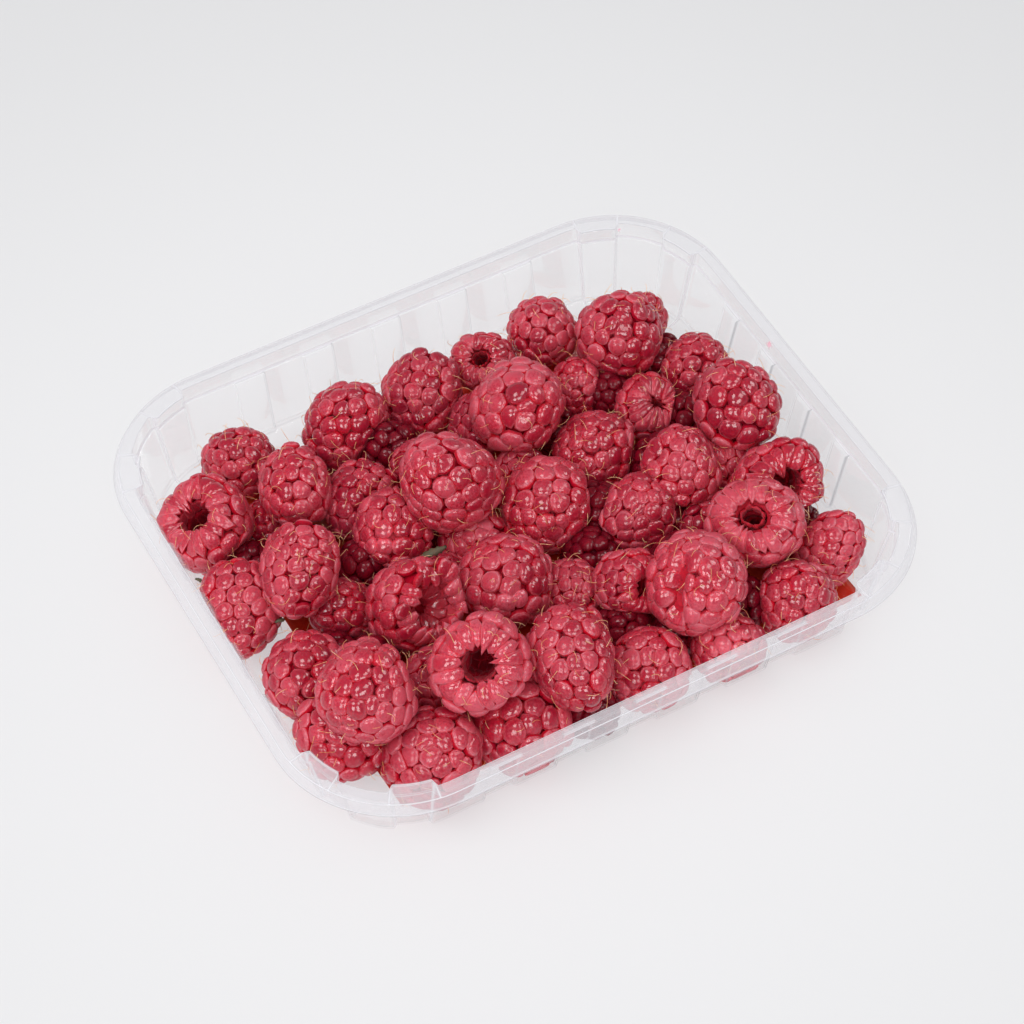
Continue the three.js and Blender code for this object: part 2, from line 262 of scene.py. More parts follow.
@dataclass(frozen=True)
class RaspberrySkin:
    """Raspberry skin: saturated in the creases, paler and bloomed on the drupelets, with a painted
    sheen along their borders, a painted glow low on each and painted shade deep in a hollow.
    """

    name: str = "raspberry_skin"
    crease: tuple = opaque(0.50, 0.002, 0.016)
    flesh: tuple = opaque(0.55, 0.016, 0.044)
    # Pale bloom, also laid on as a painted sheen along the drupelets' borders.
    bloom_and_sheen: tuple = opaque(0.69, 0.190, 0.240)
    pink: tuple = opaque(0.80, 0.100, 0.150)
    wine_and_shade: tuple = opaque(0.24, 0.002, 0.020)
    inside: tuple = opaque(0.38, 0.012, 0.026)
    # Painted shade deep in a hollow.
    deep: tuple = opaque(0.22, 0.003, 0.012)
    juice: tuple = opaque(0.38, 0.005, 0.024)
    fine_scale: float = 1700.0
    lump_scale: float = 620.0
    broad_scale: float = 80.0
    bump_height: float = 0.5 * MM
    sheen: float = 0.18
    coat: float = 0.95
    painted_glow: float = 0.09

    def make(self) -> bpy.types.Material:
        """Builds the material, which reads the skin attribute's four channels.

        Returns:
            The material.
        """
        graph = Graph.of_material(self.name)
        rise, drupelet, tone, hollow = graph.channels(SKIN_ATTRIBUTE)
        fine = graph.noise(self.fine_scale, 3.0, 0.65)
        lumps = graph.noise(self.lump_scale, 1.0)
        broad = graph.noise(self.broad_scale)
        folds = (rise * 30.0 + lumps * 14.0 + drupelet * 6.0).wave()
        colour = graph.mix(self.crease, self.flesh, graph.ease(rise, 0.42, 0.92))
        # Tone is high on the low berries deep in the heap, so the wine colour there is painted
        # shade as well as ripeness.
        ripe = graph.ease(drupelet * 0.40 + tone * 0.80, 0.48, 1.05)
        colour = graph.mix(colour, self.wine_and_shade, ripe * 0.75)
        unripe = graph.ease(0.62 - tone - drupelet * 0.16, 0.0, 0.50)
        colour = graph.mix(colour, self.pink, unripe * 0.8)
        dusty = graph.ease(broad + (fine - 0.5) * 1.2 + (0.5 - drupelet) * 0.25, 0.36, 0.66)
        top = graph.ease(rise, 0.72, 0.98) * (1.0 - dusty)
        colour = graph.mix(colour, self.juice, top * 0.45)
        # The pale band along each drupelet's border is partly real bloom and partly a painted
        # sheen.
        border_fuzz_and_sheen = graph.ease(rise, 0.38, 0.50) * (1.0 - graph.ease(rise, 0.58, 0.86))
        dust_and_sheen = dusty * graph.ease(rise, 0.50, 0.90) * 0.25
        dust_and_sheen = dust_and_sheen + border_fuzz_and_sheen * graph.ease(fine + broad, 0.72, 1.10) * (folds * 0.45 + 0.60)
        colour = graph.mix(colour, self.bloom_and_sheen, dust_and_sheen * (1.0 - ripe * 0.6))
        colour = graph.mix(colour, self.inside, graph.ease(hollow, 0.0, 0.5) * 0.6)
        # Deep in a hollow the colour darkens: painted shade.
        colour = graph.mix(colour, self.deep, graph.ease(hollow, 0.5, 1.0) * 0.9)
        height = fine * 0.30 + lumps * 0.55 + folds * border_fuzz_and_sheen * 0.12
        # A red glow low on each drupelet, near the creases, is painted light that stands for light
        # passing through the skin.
        painted_translucence_band = graph.ease(rise, 0.02, 0.25) * (1.0 - graph.ease(rise, 0.50, 0.85))
        shader = graph.node(
            "ShaderNodeBsdfPrincipled",
            {"subsurface_method": "BURLEY"},
            {
                "Base Color": colour,
                "Roughness": 0.34 + dusty * 0.22,
                "IOR": 1.4,
                "Specular IOR Level": 0.06,
                "Subsurface Weight": 0.38,
                "Subsurface Radius": (1.0, 0.14, 0.12),
                "Subsurface Scale": 1.2 * MM,
                "Coat Weight": graph.ease(rise, 0.40, 0.80) * (1.0 - dusty * 0.6) * self.coat,
                "Coat Roughness": 0.11,
                "Coat IOR": 1.5,
                "Sheen Weight": self.sheen,
                "Sheen Roughness": 0.40,
                "Sheen Tint": opaque(1.0, 0.36, 0.42),
                "Emission Color": graph.mix(opaque(0, 0, 0), self.crease, painted_translucence_band),
                "Emission Strength": self.painted_glow,
                "Normal": graph.bump(height, self.bump_height),
            },
        )
        return graph.finish(shader)


@dataclass(frozen=True)
class Mottled:
    """A finish whose colour drifts between two, with fine bumps where it has any."""

    name: str
    first: tuple
    second: tuple
    scale: float
    detail: float = 2.0
    low: float = 0.35
    high: float = 0.65
    roughness: float = 0.42
    roughness_gain: float = 0.2
    coat: float = 0.0
    bump_scale: float = 0.0
    bump_detail: float = 2.0
    bump_height: float = 0.0

    def make(self) -> bpy.types.Material:
        """Builds the material.

        Returns:
            The material.
        """
        graph = Graph.of_material(self.name)
        shade = graph.ease(graph.noise(self.scale, self.detail), self.low, self.high)
        inputs = {
            "Base Color": graph.mix(self.first, self.second, shade),
            "Roughness": self.roughness + shade * self.roughness_gain,
            "Coat Weight": self.coat,
            "Coat Roughness": 0.08,
        }
        if self.bump_height > 0.0:
            rough = graph.noise(self.bump_scale, self.bump_detail)
            inputs["Normal"] = graph.bump(rough, self.bump_height)
        return graph.finish(graph.node("ShaderNodeBsdfPrincipled", inputs=inputs))


# The dry golden styles that stand on the drupelets.
DRY_STYLE = Mottled(
    "dry_style", opaque(0.95, 0.60, 0.30), opaque(0.80, 0.28, 0.10), scale=420, low=0.38, high=0.68
)

# Scraps of green-brown calyx left between the berries.
CALYX_LEAF = Mottled(
    "calyx_leaf",
    opaque(0.060, 0.070, 0.022),
    opaque(0.130, 0.085, 0.040),
    scale=700,
    detail=3.0,
    roughness=0.6,
    bump_scale=2500,
    bump_height=0.1 * MM,
)

# The pad's glossy red-orange film.
RED_FILM = Mottled(
    "red_film",
    opaque(0.62, 0.030, 0.012),
    opaque(0.80, 0.075, 0.020),
    scale=70,
    roughness=0.26,
    roughness_gain=0.1,
    coat=0.4,
    bump_scale=260,
    bump_detail=3.0,
    bump_height=0.2 * MM,
)


@dataclass(frozen=True)
class ClearSheet:
    """Thin clear plastic: a slight haze with a painted reflection and glow, and painted white
    glints and dark lines at its tight bends.
    """

    see_through: tuple = opaque(0.997, 0.997, 0.998)
    # The grey see-through of the painted dark lines.
    shade: tuple = opaque(0.62, 0.62, 0.65)
    to_lamps: tuple = opaque(0.99, 0.99, 0.99)
    haze: tuple = opaque(0.38, 0.375, 0.395)
    painted_glow: float = 0.44
    # The tint of the veil's painted glow.
    pale: tuple = opaque(0.96, 0.95, 1.0)
    juice: tuple = opaque(0.85, 0.30, 0.42)
    juice_cover: float = 0.35
    haze_low: float = 0.02
    bend_white: float = 0.72
    mirror: float = 0.10
    mirror_roughness: float = 0.05

    def make(self, marks: tuple[JuiceMark, ...]) -> bpy.types.Material:
        """Builds the material, which reads the bend attribute's first three channels.

        Args:
            marks: The juice marks on the sheet.

        Returns:
            The material.
        """
        graph = Graph.of_material("clear_sheet")
        place = graph.coordinates()
        white, dark, reflection_and_haze_mask, _ = graph.channels(BEND_ATTRIBUTE)
        # Painted dark lines along some bends and rib sides, as grey see-through.
        painted_dark_lines = graph.ease(dark, 0.10, 1.0)
        clear = graph.blend(painted_dark_lines, graph.clear(self.see_through), graph.clear(self.shade))
        shine = {"Color": opaque(1, 1, 1), "Roughness": self.mirror_roughness}
        gloss = graph.node("ShaderNodeBsdfGlossy", inputs=shine)
        fresnel = graph.node("ShaderNodeFresnel", inputs={"IOR": 1.5})
        glazed = graph.blend(graph.read(fresnel) * self.mirror, clear, gloss)
        stain = sum(mark.mask(graph, place) for mark in marks)
        # Painted white glints along the tight bends and the rib and lug sides.
        glint = graph.ease(white, 0.15, 0.85) * self.bend_white
        # The veil is partly the sheet's own haze and partly a painted reflection of its white
        # surroundings, and its emission is a painted glow.
        veil = graph.node(
            "ShaderNodeBsdfPrincipled",
            inputs={
                "Base Color": graph.mix(self.haze, self.juice, stain),
                "Roughness": 0.4 + graph.noise(200, 2.0) * 0.1,
                "Specular IOR Level": 0.0,
                "Emission Color": graph.mix(self.pale, self.juice, stain),
                "Emission Strength": self.painted_glow,
            },
        )
        veiled = graph.blend(
            reflection_and_haze_mask + stain * self.juice_cover + glint + self.haze_low, glazed, veil
        )
        path = graph.node("ShaderNodeLightPath")
        lamp_lit = graph.read(path, "Is Shadow Ray") + graph.read(path, "Is Diffuse Ray")
        return graph.finish(graph.blend(lamp_lit, veiled, graph.clear(self.to_lamps)))


@dataclass(frozen=True)
class JuiceMark:
    """A small smear of juice on the tray, as a soft ball that tints what it meets."""

    x: float
    y: float
    z: float
    reach: float

    def mask(self, graph: Graph, place: bpy.types.NodeSocket) -> Signal:
        """The mark's strength over the sheet.

        Args:
            graph: The material's graph.
            place: The piece's own coordinates.

        Returns:
            The strength, from 0 outside to 1 inside.
        """
        away = graph.node(
            "ShaderNodeVectorMath",
            {"operation": "DISTANCE"},
            {0: place, 1: (self.x, self.y, self.z)},
        )
        ragged = graph.read(away, "Value") + (graph.noise(900, 2.0) - 0.5) * self.reach
        return 1.0 - graph.ease(ragged, self.reach * 0.6, self.reach)


@dataclass(frozen=True)
class PaleFloor:
    """The plain pale floor, with a painted glow that is brightest round the punnet and fades
    outwards, and a soft sheen.
    """

    colour: tuple = opaque(0.36, 0.36, 0.365)
    # The painted glow's colour round the punnet and further out: a painted pool of light.
    middle: tuple = opaque(0.985, 0.985, 1.0)
    outer: tuple = opaque(0.79, 0.79, 0.80)
    near: float = 0.05
    far: float = 0.31
    painted_glow: float = 0.50

    def make(self) -> bpy.types.Material:
        """Builds the material.

        Returns:
            The material.
        """
        graph = Graph.of_material("pale_floor")
        place = {0: graph.coordinates()}
        away = graph.node("ShaderNodeVectorMath", {"operation": "LENGTH"}, place)
        # The emission is a painted glow, brightest round the punnet and fading outwards.
        edge = graph.ease(graph.read(away, "Value"), self.near, self.far)
        shader = graph.node(
            "ShaderNodeBsdfPrincipled",
            inputs={
                "Base Color": self.colour,
                "Roughness": 0.50 + graph.noise(3, 1.0) * 0.02,
                "Specular IOR Level": 0.25,
                "Emission Color": graph.mix(self.middle, self.outer, edge),
                "Emission Strength": self.painted_glow,
            },
        )
        return graph.finish(shader)


# ---- shared making ----


def add_object(name: str, data: bpy.types.ID) -> bpy.types.Object:
    """A new object in the scene, with its data.

    Args:
        name: The object's name.
        data: Its mesh, curve, light or camera.

    Returns:
        The new object.
    """
    made = bpy.data.objects.new(name, data)
    bpy.context.scene.collection.objects.link(made)
    return made


def to_object(name: str, shape: bmesh.types.BMesh) -> bpy.types.Object:
    """Turns a bmesh into a smooth-shaded object in the scene, and frees it.

    Args:
        name: The piece's name.
        shape: The finished bmesh.

    Returns:
        The new object.
    """
    mesh = bpy.data.meshes.new(name)
    shape.to_mesh(mesh)
    shape.free()
    mesh.shade_smooth()
    return add_object(name, mesh)


def settle_in(
    piece: bpy.types.Object, material: bpy.types.Material, node: str | None = None
) -> bpy.types.Object:
    """Dresses a piece and hangs it on the body.

    Args:
        piece: The piece.
        material: Its finish.
        node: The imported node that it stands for, if any.

    Returns:
        The piece.
    """
    piece.data.materials.clear()
    piece.data.materials.append(material)
    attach(piece, ROOT)
    if node is not None:
        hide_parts(node)
    LOG.info("%s: %d faces", piece.name, len(piece.data.polygons))
    return piece


def spun(
    profile: np.ndarray | list, sides: int, near: float
) -> tuple[np.ndarray, list[np.ndarray]]:
    """Spins a profile round Z into a closed shape.

    Args:
        profile: The profile's distances from the axis, with their heights.
        sides: Steps round the axis.
        near: How near to each other points are merged.

    Returns:
        The vertices and the faces.
    """
    shape = bmesh.new()
    chain = [shape.verts.new((reach, 0.0, rise)) for reach, rise in profile]
    edges = [shape.edges.new(pair) for pair in zip(chain, chain[1:])]
    bmesh.ops.spin(
        shape,
        geom=[*chain, *edges],
        cent=(0.0, 0.0, 0.0),
        axis=(0.0, 0.0, 1.0),
        angle=2 * math.pi,
        steps=sides,
        use_merge=True,
        use_duplicate=False,
    )
    bmesh.ops.remove_doubles(shape, verts=shape.verts, dist=near)
    bmesh.ops.recalc_face_normals(shape, faces=shape.faces)
    shape.verts.index_update()
    points = np.array([vertex.co[:] for vertex in shape.verts])
    faces = [np.array([vertex.index for vertex in face.verts]) for face in shape.faces]
    shape.free()
    return points, faces


def ease(value: float) -> float:
    """A smooth step from 0 to 1 of a value that is clipped to that range."""
    value = min(max(value, 0.0), 1.0)
    return value * value * (3.0 - 2.0 * value)


# ---- the tray ----


@dataclass(frozen=True)
class Station:
    """One upright line round the tray: its place, its share in relief and its own line.

    The line is above 0 where a rib's side has a painted glint and below 0 where it has a painted
    dark line.
    """

    x: float
    y: float
    out_x: float
    out_y: float
    rib: float
    lug: float
    line: float = 0.0


@dataclass(frozen=True)
class Edge:
    """A point of the tray's section, with its rib and lug depths and bend, its painted glint and
    dark line, and its haze with painted reflection.
    """

    inset: float
    height: float
    rib: float = 0.0
    lug: float = 0.0
    bend: float = 0.0
    glint: float = 0.0
    dark: float = 0.0
    haze_and_reflection: float = 0.0

    def toward(self, other: Edge, share: float) -> Edge:
        """The point on the way to another.

        Args:
            other: The point it goes to.
            share: How far along, from 0 to 1.

        Returns:
            The point between.
        """
        return Edge(
            self.inset + (other.inset - self.inset) * share,
            self.height + (other.height - self.height) * share,
            self.rib + (other.rib - self.rib) * share,
            self.lug + (other.lug - self.lug) * share,
            haze_and_reflection=self.haze_and_reflection + (other.haze_and_reflection - self.haze_and_reflection) * share,
        )

    def reach(self, other: Edge) -> float:
        """The distance to another point of the section."""
        return math.hypot(other.inset - self.inset, other.height - self.height)


@dataclass(frozen=True)
class Ribs:
    """A row of upright ribs along one straight side."""

    count: int
    pitch: float
    width: float


@dataclass
class Tray:
    """The clear tray: floor, ribbed wall, ledge, raised flat bead and turned-down lip."""

    length: float = 180 * MM
    width: float = 154.5 * MM
    corner: float = 33.8 * MM
    sheet: float = 0.42 * MM
    rib_depth: float = 1.1 * MM
    rib_slope: float = 0.9 * MM
    lug_depth: float = 1.4 * MM
    lug_depth_at_bead: float = 2.4 * MM
    lug_at: tuple = (20.0, 70.0)
    lug_half_angle: float = 12.5
    lug_slope: float = 2.5
    long_ribs: Ribs = Ribs(5, 20.5 * MM, 8.8 * MM)
    short_ribs: Ribs = Ribs(4, 18.3 * MM, 6.6 * MM)
    rib_dark: float = -0.60
    rib_glint: float = 0.40
    lug_glint: float = 0.60
    corner_steps: int = 30
    bend_steps: int = 3
    finish: ClearSheet = ClearSheet()
    marks: tuple = (
        JuiceMark(-80 * MM, 45 * MM, 8 * MM, 1.0 * MM),
        JuiceMark(72.0 * MM, 68.5 * MM, 22 * MM, 1.2 * MM),
        JuiceMark(64.0 * MM, -70.5 * MM, 2 * MM, 4.5 * MM),
        JuiceMark(84.0 * MM, 10.3 * MM, 23.5 * MM, 1.8 * MM),
    )

    def section(self) -> list[Edge]:
        """The section's bare corners, from the floor outwards to the lip.

        Returns:
            The corners, in order.
        """
        step, top = self.lug_depth, self.lug_depth_at_bead
        wall = {"rib": self.rib_depth, "lug": step}
        # The glint, dark and haze amounts of the section paint white glints, dark lines and a
        # whitish veil onto the sheet, beside the sheet's own slight haze.
        return [
            Edge(17.0 * MM, 0.5 * MM),
            Edge(15.2 * MM, 0.5 * MM),
            Edge(12.2 * MM, 0.55 * MM, bend=1.0 * MM, **wall),
            Edge(9.7 * MM, 1.5 * MM, bend=1.6 * MM, glint=0.35, dark=0.30, **wall),
            Edge(6.15 * MM, 20.1 * MM, bend=0.25 * MM, haze_and_reflection=0.05, **wall),
            Edge(5.55 * MM, 20.5 * MM, lug=step, bend=0.35 * MM, glint=1.0, haze_and_reflection=0.06),
            Edge(5.0 * MM, 24.4 * MM, lug=top, haze_and_reflection=0.10),
            Edge(4.9 * MM, 25.1 * MM, lug=top, bend=0.55 * MM, glint=0.7, dark=0.6, haze_and_reflection=0.20),
            Edge(1.4 * MM, 24.8 * MM, bend=0.45 * MM, glint=0.9, dark=0.35, haze_and_reflection=0.24),
            Edge(0.1 * MM, 21.9 * MM, bend=0.12 * MM, glint=0.8, haze_and_reflection=0.26),
            Edge(-0.1 * MM, 21.5 * MM, dark=0.4, haze_and_reflection=0.20),
        ]

    def bent_section(self) -> list[Edge]:
        """The section with each corner rounded by its own bend.

        Returns:
            The section's points, in order.
        """
        corners = self.section()
        points = [corners[0]]
        for before, corner, after in zip(corners, corners[1:], corners[2:]):
            back = min(corner.bend, 0.45 * corner.reach(before))
            ahead = min(corner.bend, 0.45 * corner.reach(after))
            start = corner.toward(before, back / corner.reach(before))
            end = corner.toward(after, ahead / corner.reach(after))
            if corner.bend == 0.0:
                points.append(corner)
                continue
            for step in range(self.bend_steps + 1):
                share = step / self.bend_steps
                first = start.toward(corner, share)
                point = first.toward(corner.toward(end, share), share)
                inner, outer = float(step == 1), float(step == 2)
                glint = corner.glint * max(outer, inner * (corner.dark == 0.0))
                dark = corner.dark * max(inner, outer * (corner.glint == 0.0))
                points.append(replace(point, glint=glint, dark=dark))
        return [*points, corners[-1]]

    def rib_places(self, ribs: Ribs) -> list[tuple[float, float, float]]:
        """Places along a straight side with the rib's share and line at each.

        Args:
            ribs: The side's ribs.

        Returns:
            The distance from the side's middle, the share and the line, in order.
        """
        places = []
        steps = (0.0, 0.25, 0.5, 0.75, 1.0)
        foot = ribs.width / 2 + self.rib_slope / 2
        for index in range(ribs.count):
            middle = (index - (ribs.count - 1) / 2) * ribs.pitch
            rising = [(middle - foot + self.rib_slope * s, ease(s)) for s in steps]
            # A rib's rising side gets a painted dark line and its falling side a painted glint.
            places += [(at, share, self.rib_dark) for at, share in rising]
            falling = [(2 * middle - at, share) for at, share in reversed(rising)]
            places += [(at, share, self.rib_glint) for at, share in falling]
        return places

    def rib_share(self, along: np.ndarray, ribs: Ribs) -> np.ndarray:
        """How far a side's ribs stand in, from 0 to 1.

        Args:
            along: Distances from the side's middle.
            ribs: The side's ribs.

        Returns:
            The share at each distance.
        """
        places = self.rib_places(ribs)
        return np.interp(along, [at for at, _, _ in places], [share for _, share, _ in places])

    def lug_share(self, angle: float) -> float:
        """How far a lug stands in at an angle of a corner, from 0 to 1."""
        away = min(abs(angle - middle) for middle in self.lug_at)
        return ease((self.lug_half_angle - away) / self.lug_slope)

    def corner_angles(self) -> list[float]:
        """The angles of a corner's stations, with extra ones on the lugs' slopes.

        Returns:
            The angles in degrees, from 0 to 90.
        """
        angles = {90.0 * step / self.corner_steps for step in range(self.corner_steps + 1)}
        for middle in self.lug_at:
            for share in (0.0, 0.25, 0.5, 0.75, 1.0):
                reach = self.lug_half_angle - self.lug_slope * share
                angles |= {middle - reach, middle + reach}
        return sorted(angles)

    def stations(self) -> list[Station]:
        """All stations round the tray, in order.

        Returns:
            The stations.
        """
        found = []
        reach = (self.length / 2 - self.corner, self.width / 2 - self.corner)
        for quarter in range(4):
            turn = Matrix.Rotation(quarter * math.pi / 2, 2)
            along, out = (reach[0], reach[1]) if quarter % 2 == 0 else (reach[1], reach[0])
            ribs = self.long_ribs if quarter % 2 == 0 else self.short_ribs
            for at, share, line in self.rib_places(ribs):
                point = turn @ Vector((at, -out - self.corner))
                face = turn @ Vector((0.0, -1.0))
                line *= 4.0 * share * (1.0 - share)
                found.append(Station(point.x, point.y, face.x, face.y, share, 0.0, line))
            for angle in self.corner_angles():
                turned = math.radians(angle)
                face = turn @ Vector((math.sin(turned), -math.cos(turned)))
                point = turn @ Vector((along, -out)) + face * self.corner
                lug = self.lug_share(angle)
                found.append(Station(point.x, point.y, face.x, face.y, 0.0, lug))
        return found

    def build(self) -> bpy.types.Object:
        """Rolls a grid into the tray's sheet, closes its floor and gives it thickness.

        Returns:
            The finished piece.
        """
        stations = self.stations()
        section = self.bent_section()
        rounds = len(stations)
        rises = len(section) - 1
        shape = bmesh.new()
        bmesh.ops.create_grid(shape, x_segments=rounds, y_segments=rises, size=0.5)
        bend = shape.verts.layers.float_color.new(BEND_ATTRIBUTE)
        for vertex in shape.verts:
            station = stations[round((vertex.co.x + 0.5) * rounds) % rounds]
            edge = section[round((vertex.co.y + 0.5) * rises)]
            depth = edge.inset + edge.rib * station.rib + edge.lug * station.lug
            vertex.co.x = station.x - station.out_x * depth
            vertex.co.y = station.y - station.out_y * depth
            vertex.co.z = edge.height
            # Painted glints and dark lines, and the haze with its painted reflection, go into the
            # bend attribute.
            line = station.line if edge.rib > 0.0 and edge.height > 2.0 * MM else 0.0
            slope = 4.0 * station.lug * (1.0 - station.lug) if edge.lug > 0.0 else 0.0
            line = max(line, slope * self.lug_glint) if line >= 0.0 else line
            white, dark = max(edge.glint, line), max(edge.dark, -line)
            vertex[bend] = (white, dark, edge.haze_and_reflection, 1.0)
        bmesh.ops.remove_doubles(shape, verts=shape.verts, dist=1e-6)
        rims = (edge for edge in shape.edges if edge.is_boundary)
        floor = [edge for edge in rims if edge.verts[0].co.z < self.sheet * 2]
        bmesh.ops.contextual_create(shape, geom=floor)
        bmesh.ops.recalc_face_normals(shape, faces=shape.faces)
        middle = max(shape.faces, key=lambda face: face.calc_area())
        if middle.normal.z < 0:
            bmesh.ops.reverse_faces(shape, faces=shape.faces)
        tray = to_object("clear_tray", shape)
        wall = tray.modifiers.new("sheet", "SOLIDIFY")
        wall.thickness = self.sheet
        wall.offset = -1.0
        wall.use_even_offset = True
        return settle_in(tray, self.finish.make(self.marks), "tray")


# ---- the pad ----


@dataclass
class Pad:
    """The flat cushion pad: a sealed rim round a slack, slightly crowned middle."""

    length: float = 135 * MM
    width: float = 115 * MM
    x: float = 3.5 * MM
    y: float = -1.5 * MM
    low: float = 0.72 * MM
    rim: float = 0.35 * MM
    rim_width: float = 5 * MM
    crown: float = 1.15 * MM
    wrinkle: float = 0.16 * MM
    pucker: tuple = (900.0, 310.0, 2.0)
    crease: tuple = (720.0, 190.0, 3.0)
    columns: int = 108
    rows: int = 92
    fill: float = 0.12
    finish: Mottled = RED_FILM

    @staticmethod
    def ripple(over: float, beside: float, waves: tuple) -> float:
        """Ripples in the film.

        Args:
            over: The distance that the ripples repeat over.
            beside: The distance at right angles, along which they sway.
            waves: Radians a metre over and beside, and how far they sway.

        Returns:
            The ripple, from 0 to 1.
        """
        return 0.5 + 0.5 * math.sin(over * waves[0] + waves[2] * math.sin(beside * waves[1]))

    def height(self, across: float, along: float) -> float:
        """The film's height over the rim.

        Args:
            across: The distance to the nearer long edge.
            along: The distance to the nearer short edge.

        Returns:
            The height.
        """
        swell = ease((min(across, along) - self.rim_width) / (4 * self.rim_width))
        weld = ease((min(across, along) - self.rim_width) / (0.25 * self.rim_width))
        pucker = self.ripple(along, across, self.pucker)
        crease = self.ripple(across, along, self.crease)
        wrinkle = self.wrinkle * (pucker * crease - 0.25)
        return self.crown * (0.35 * weld + 0.65 * swell) + wrinkle * weld

    def build(self) -> bpy.types.Object:
        """Swells a grid, extrudes it down to its flat underside and closes it.

        Returns:
            The finished piece.
        """
        shape = bmesh.new()
        bmesh.ops.create_grid(shape, x_segments=self.columns, y_segments=self.rows, size=0.5)
        for vertex in shape.verts:
            u, v = vertex.co.x, vertex.co.y
            along = (0.5 - abs(u)) * self.length
            across = (0.5 - abs(v)) * self.width
            sway = 0.6 * MM * math.sin(9.0 * v + 1.0) * abs(u) * 2
            vertex.co.x = self.x + u * self.length + sway
            vertex.co.y = self.y + v * self.width + 0.5 * MM * math.sin(11.0 * u)
            vertex.co.z = self.low + self.rim + self.height(across, along)
        faces = list(shape.faces)
        made = bmesh.ops.extrude_face_region(shape, geom=faces)
        lower = [item for item in made["geom"] if isinstance(item, bmesh.types.BMVert)]
        for vertex in lower:
            vertex.co.z = self.low
        bmesh.ops.recalc_face_normals(shape, faces=shape.faces)
        pad = to_object("cushion_pad", shape)
        settle_in(pad, self.finish.make(), "pad")
        return pad


# ---- the raspberries ----


class Piece(Enum):
    """The meshes that the raspberries are joined into."""

    UNDER = "raspberries_under"
    LOW = "raspberries_low"
    MIDDLE = "raspberries_middle"
    TOP = "raspberries_top"


@dataclass(frozen=True)
class Dent:
    """A hollow pressed into a berry, or a swelling where its depth is below zero.

    Heading and rise are in degrees, from the berry's middle in the tray's frame. A dent
    with an end is a groove that runs on to that heading and rise.
    """

    heading: float
    rise: float
    spread: float
    depth: float
    end: tuple[float, float] | None = None

    def away(self, points: np.ndarray, radius: float) -> np.ndarray:
        """How far points are from the dent's middle line.

        Args:
            points: The points, from the berry's middle.
            radius: The berry's radius.

        Returns:
            The distances.
        """
        start = direction(self.heading, self.rise) * radius
        if self.end is None:
            return np.linalg.norm(points - start, axis=1)
        run = direction(*self.end) * radius - start
        share = np.clip((points - start) @ run / (run @ run), 0.0, 1.0)
        return np.linalg.norm(points - start - share[:, None] * run, axis=1)


@dataclass(frozen=True)
class Patch:
    """A spot on a berry that is paler, below zero, or riper; angles as for a dent."""

    heading: float
    rise: float
    spread: float
    tone: float


@dataclass(frozen=True)
class Berry:
    """One raspberry as it is let down; lengths in millimetres, angles in degrees.

    x and y are where its line crosses the rim's height. Heading and rise turn its tip.
    Tone runs from -1, pale and pink, to 1, ripe and dark; on the low berries deep in the heap a
    high tone is painted shade.
    Grain scales its drupelets, mouth the hole of an open berry, and flare opens that hole like a
    cup.
    A slit is the heading and rise of the long way of a hole that is pinched narrow.
    """

    x: float
    y: float
    width: float
    length: float
    heading: float = -115.0
    rise: float = 70.0
    open: bool = False
    tone: float = 0.0
    grain: float = 1.0
    mouth: float = 1.0
    flare: float = 0.0
    slit: tuple[float, float] | None = None
    dents: tuple[Dent, ...] = ()
    patches: tuple[Patch, ...] = ()


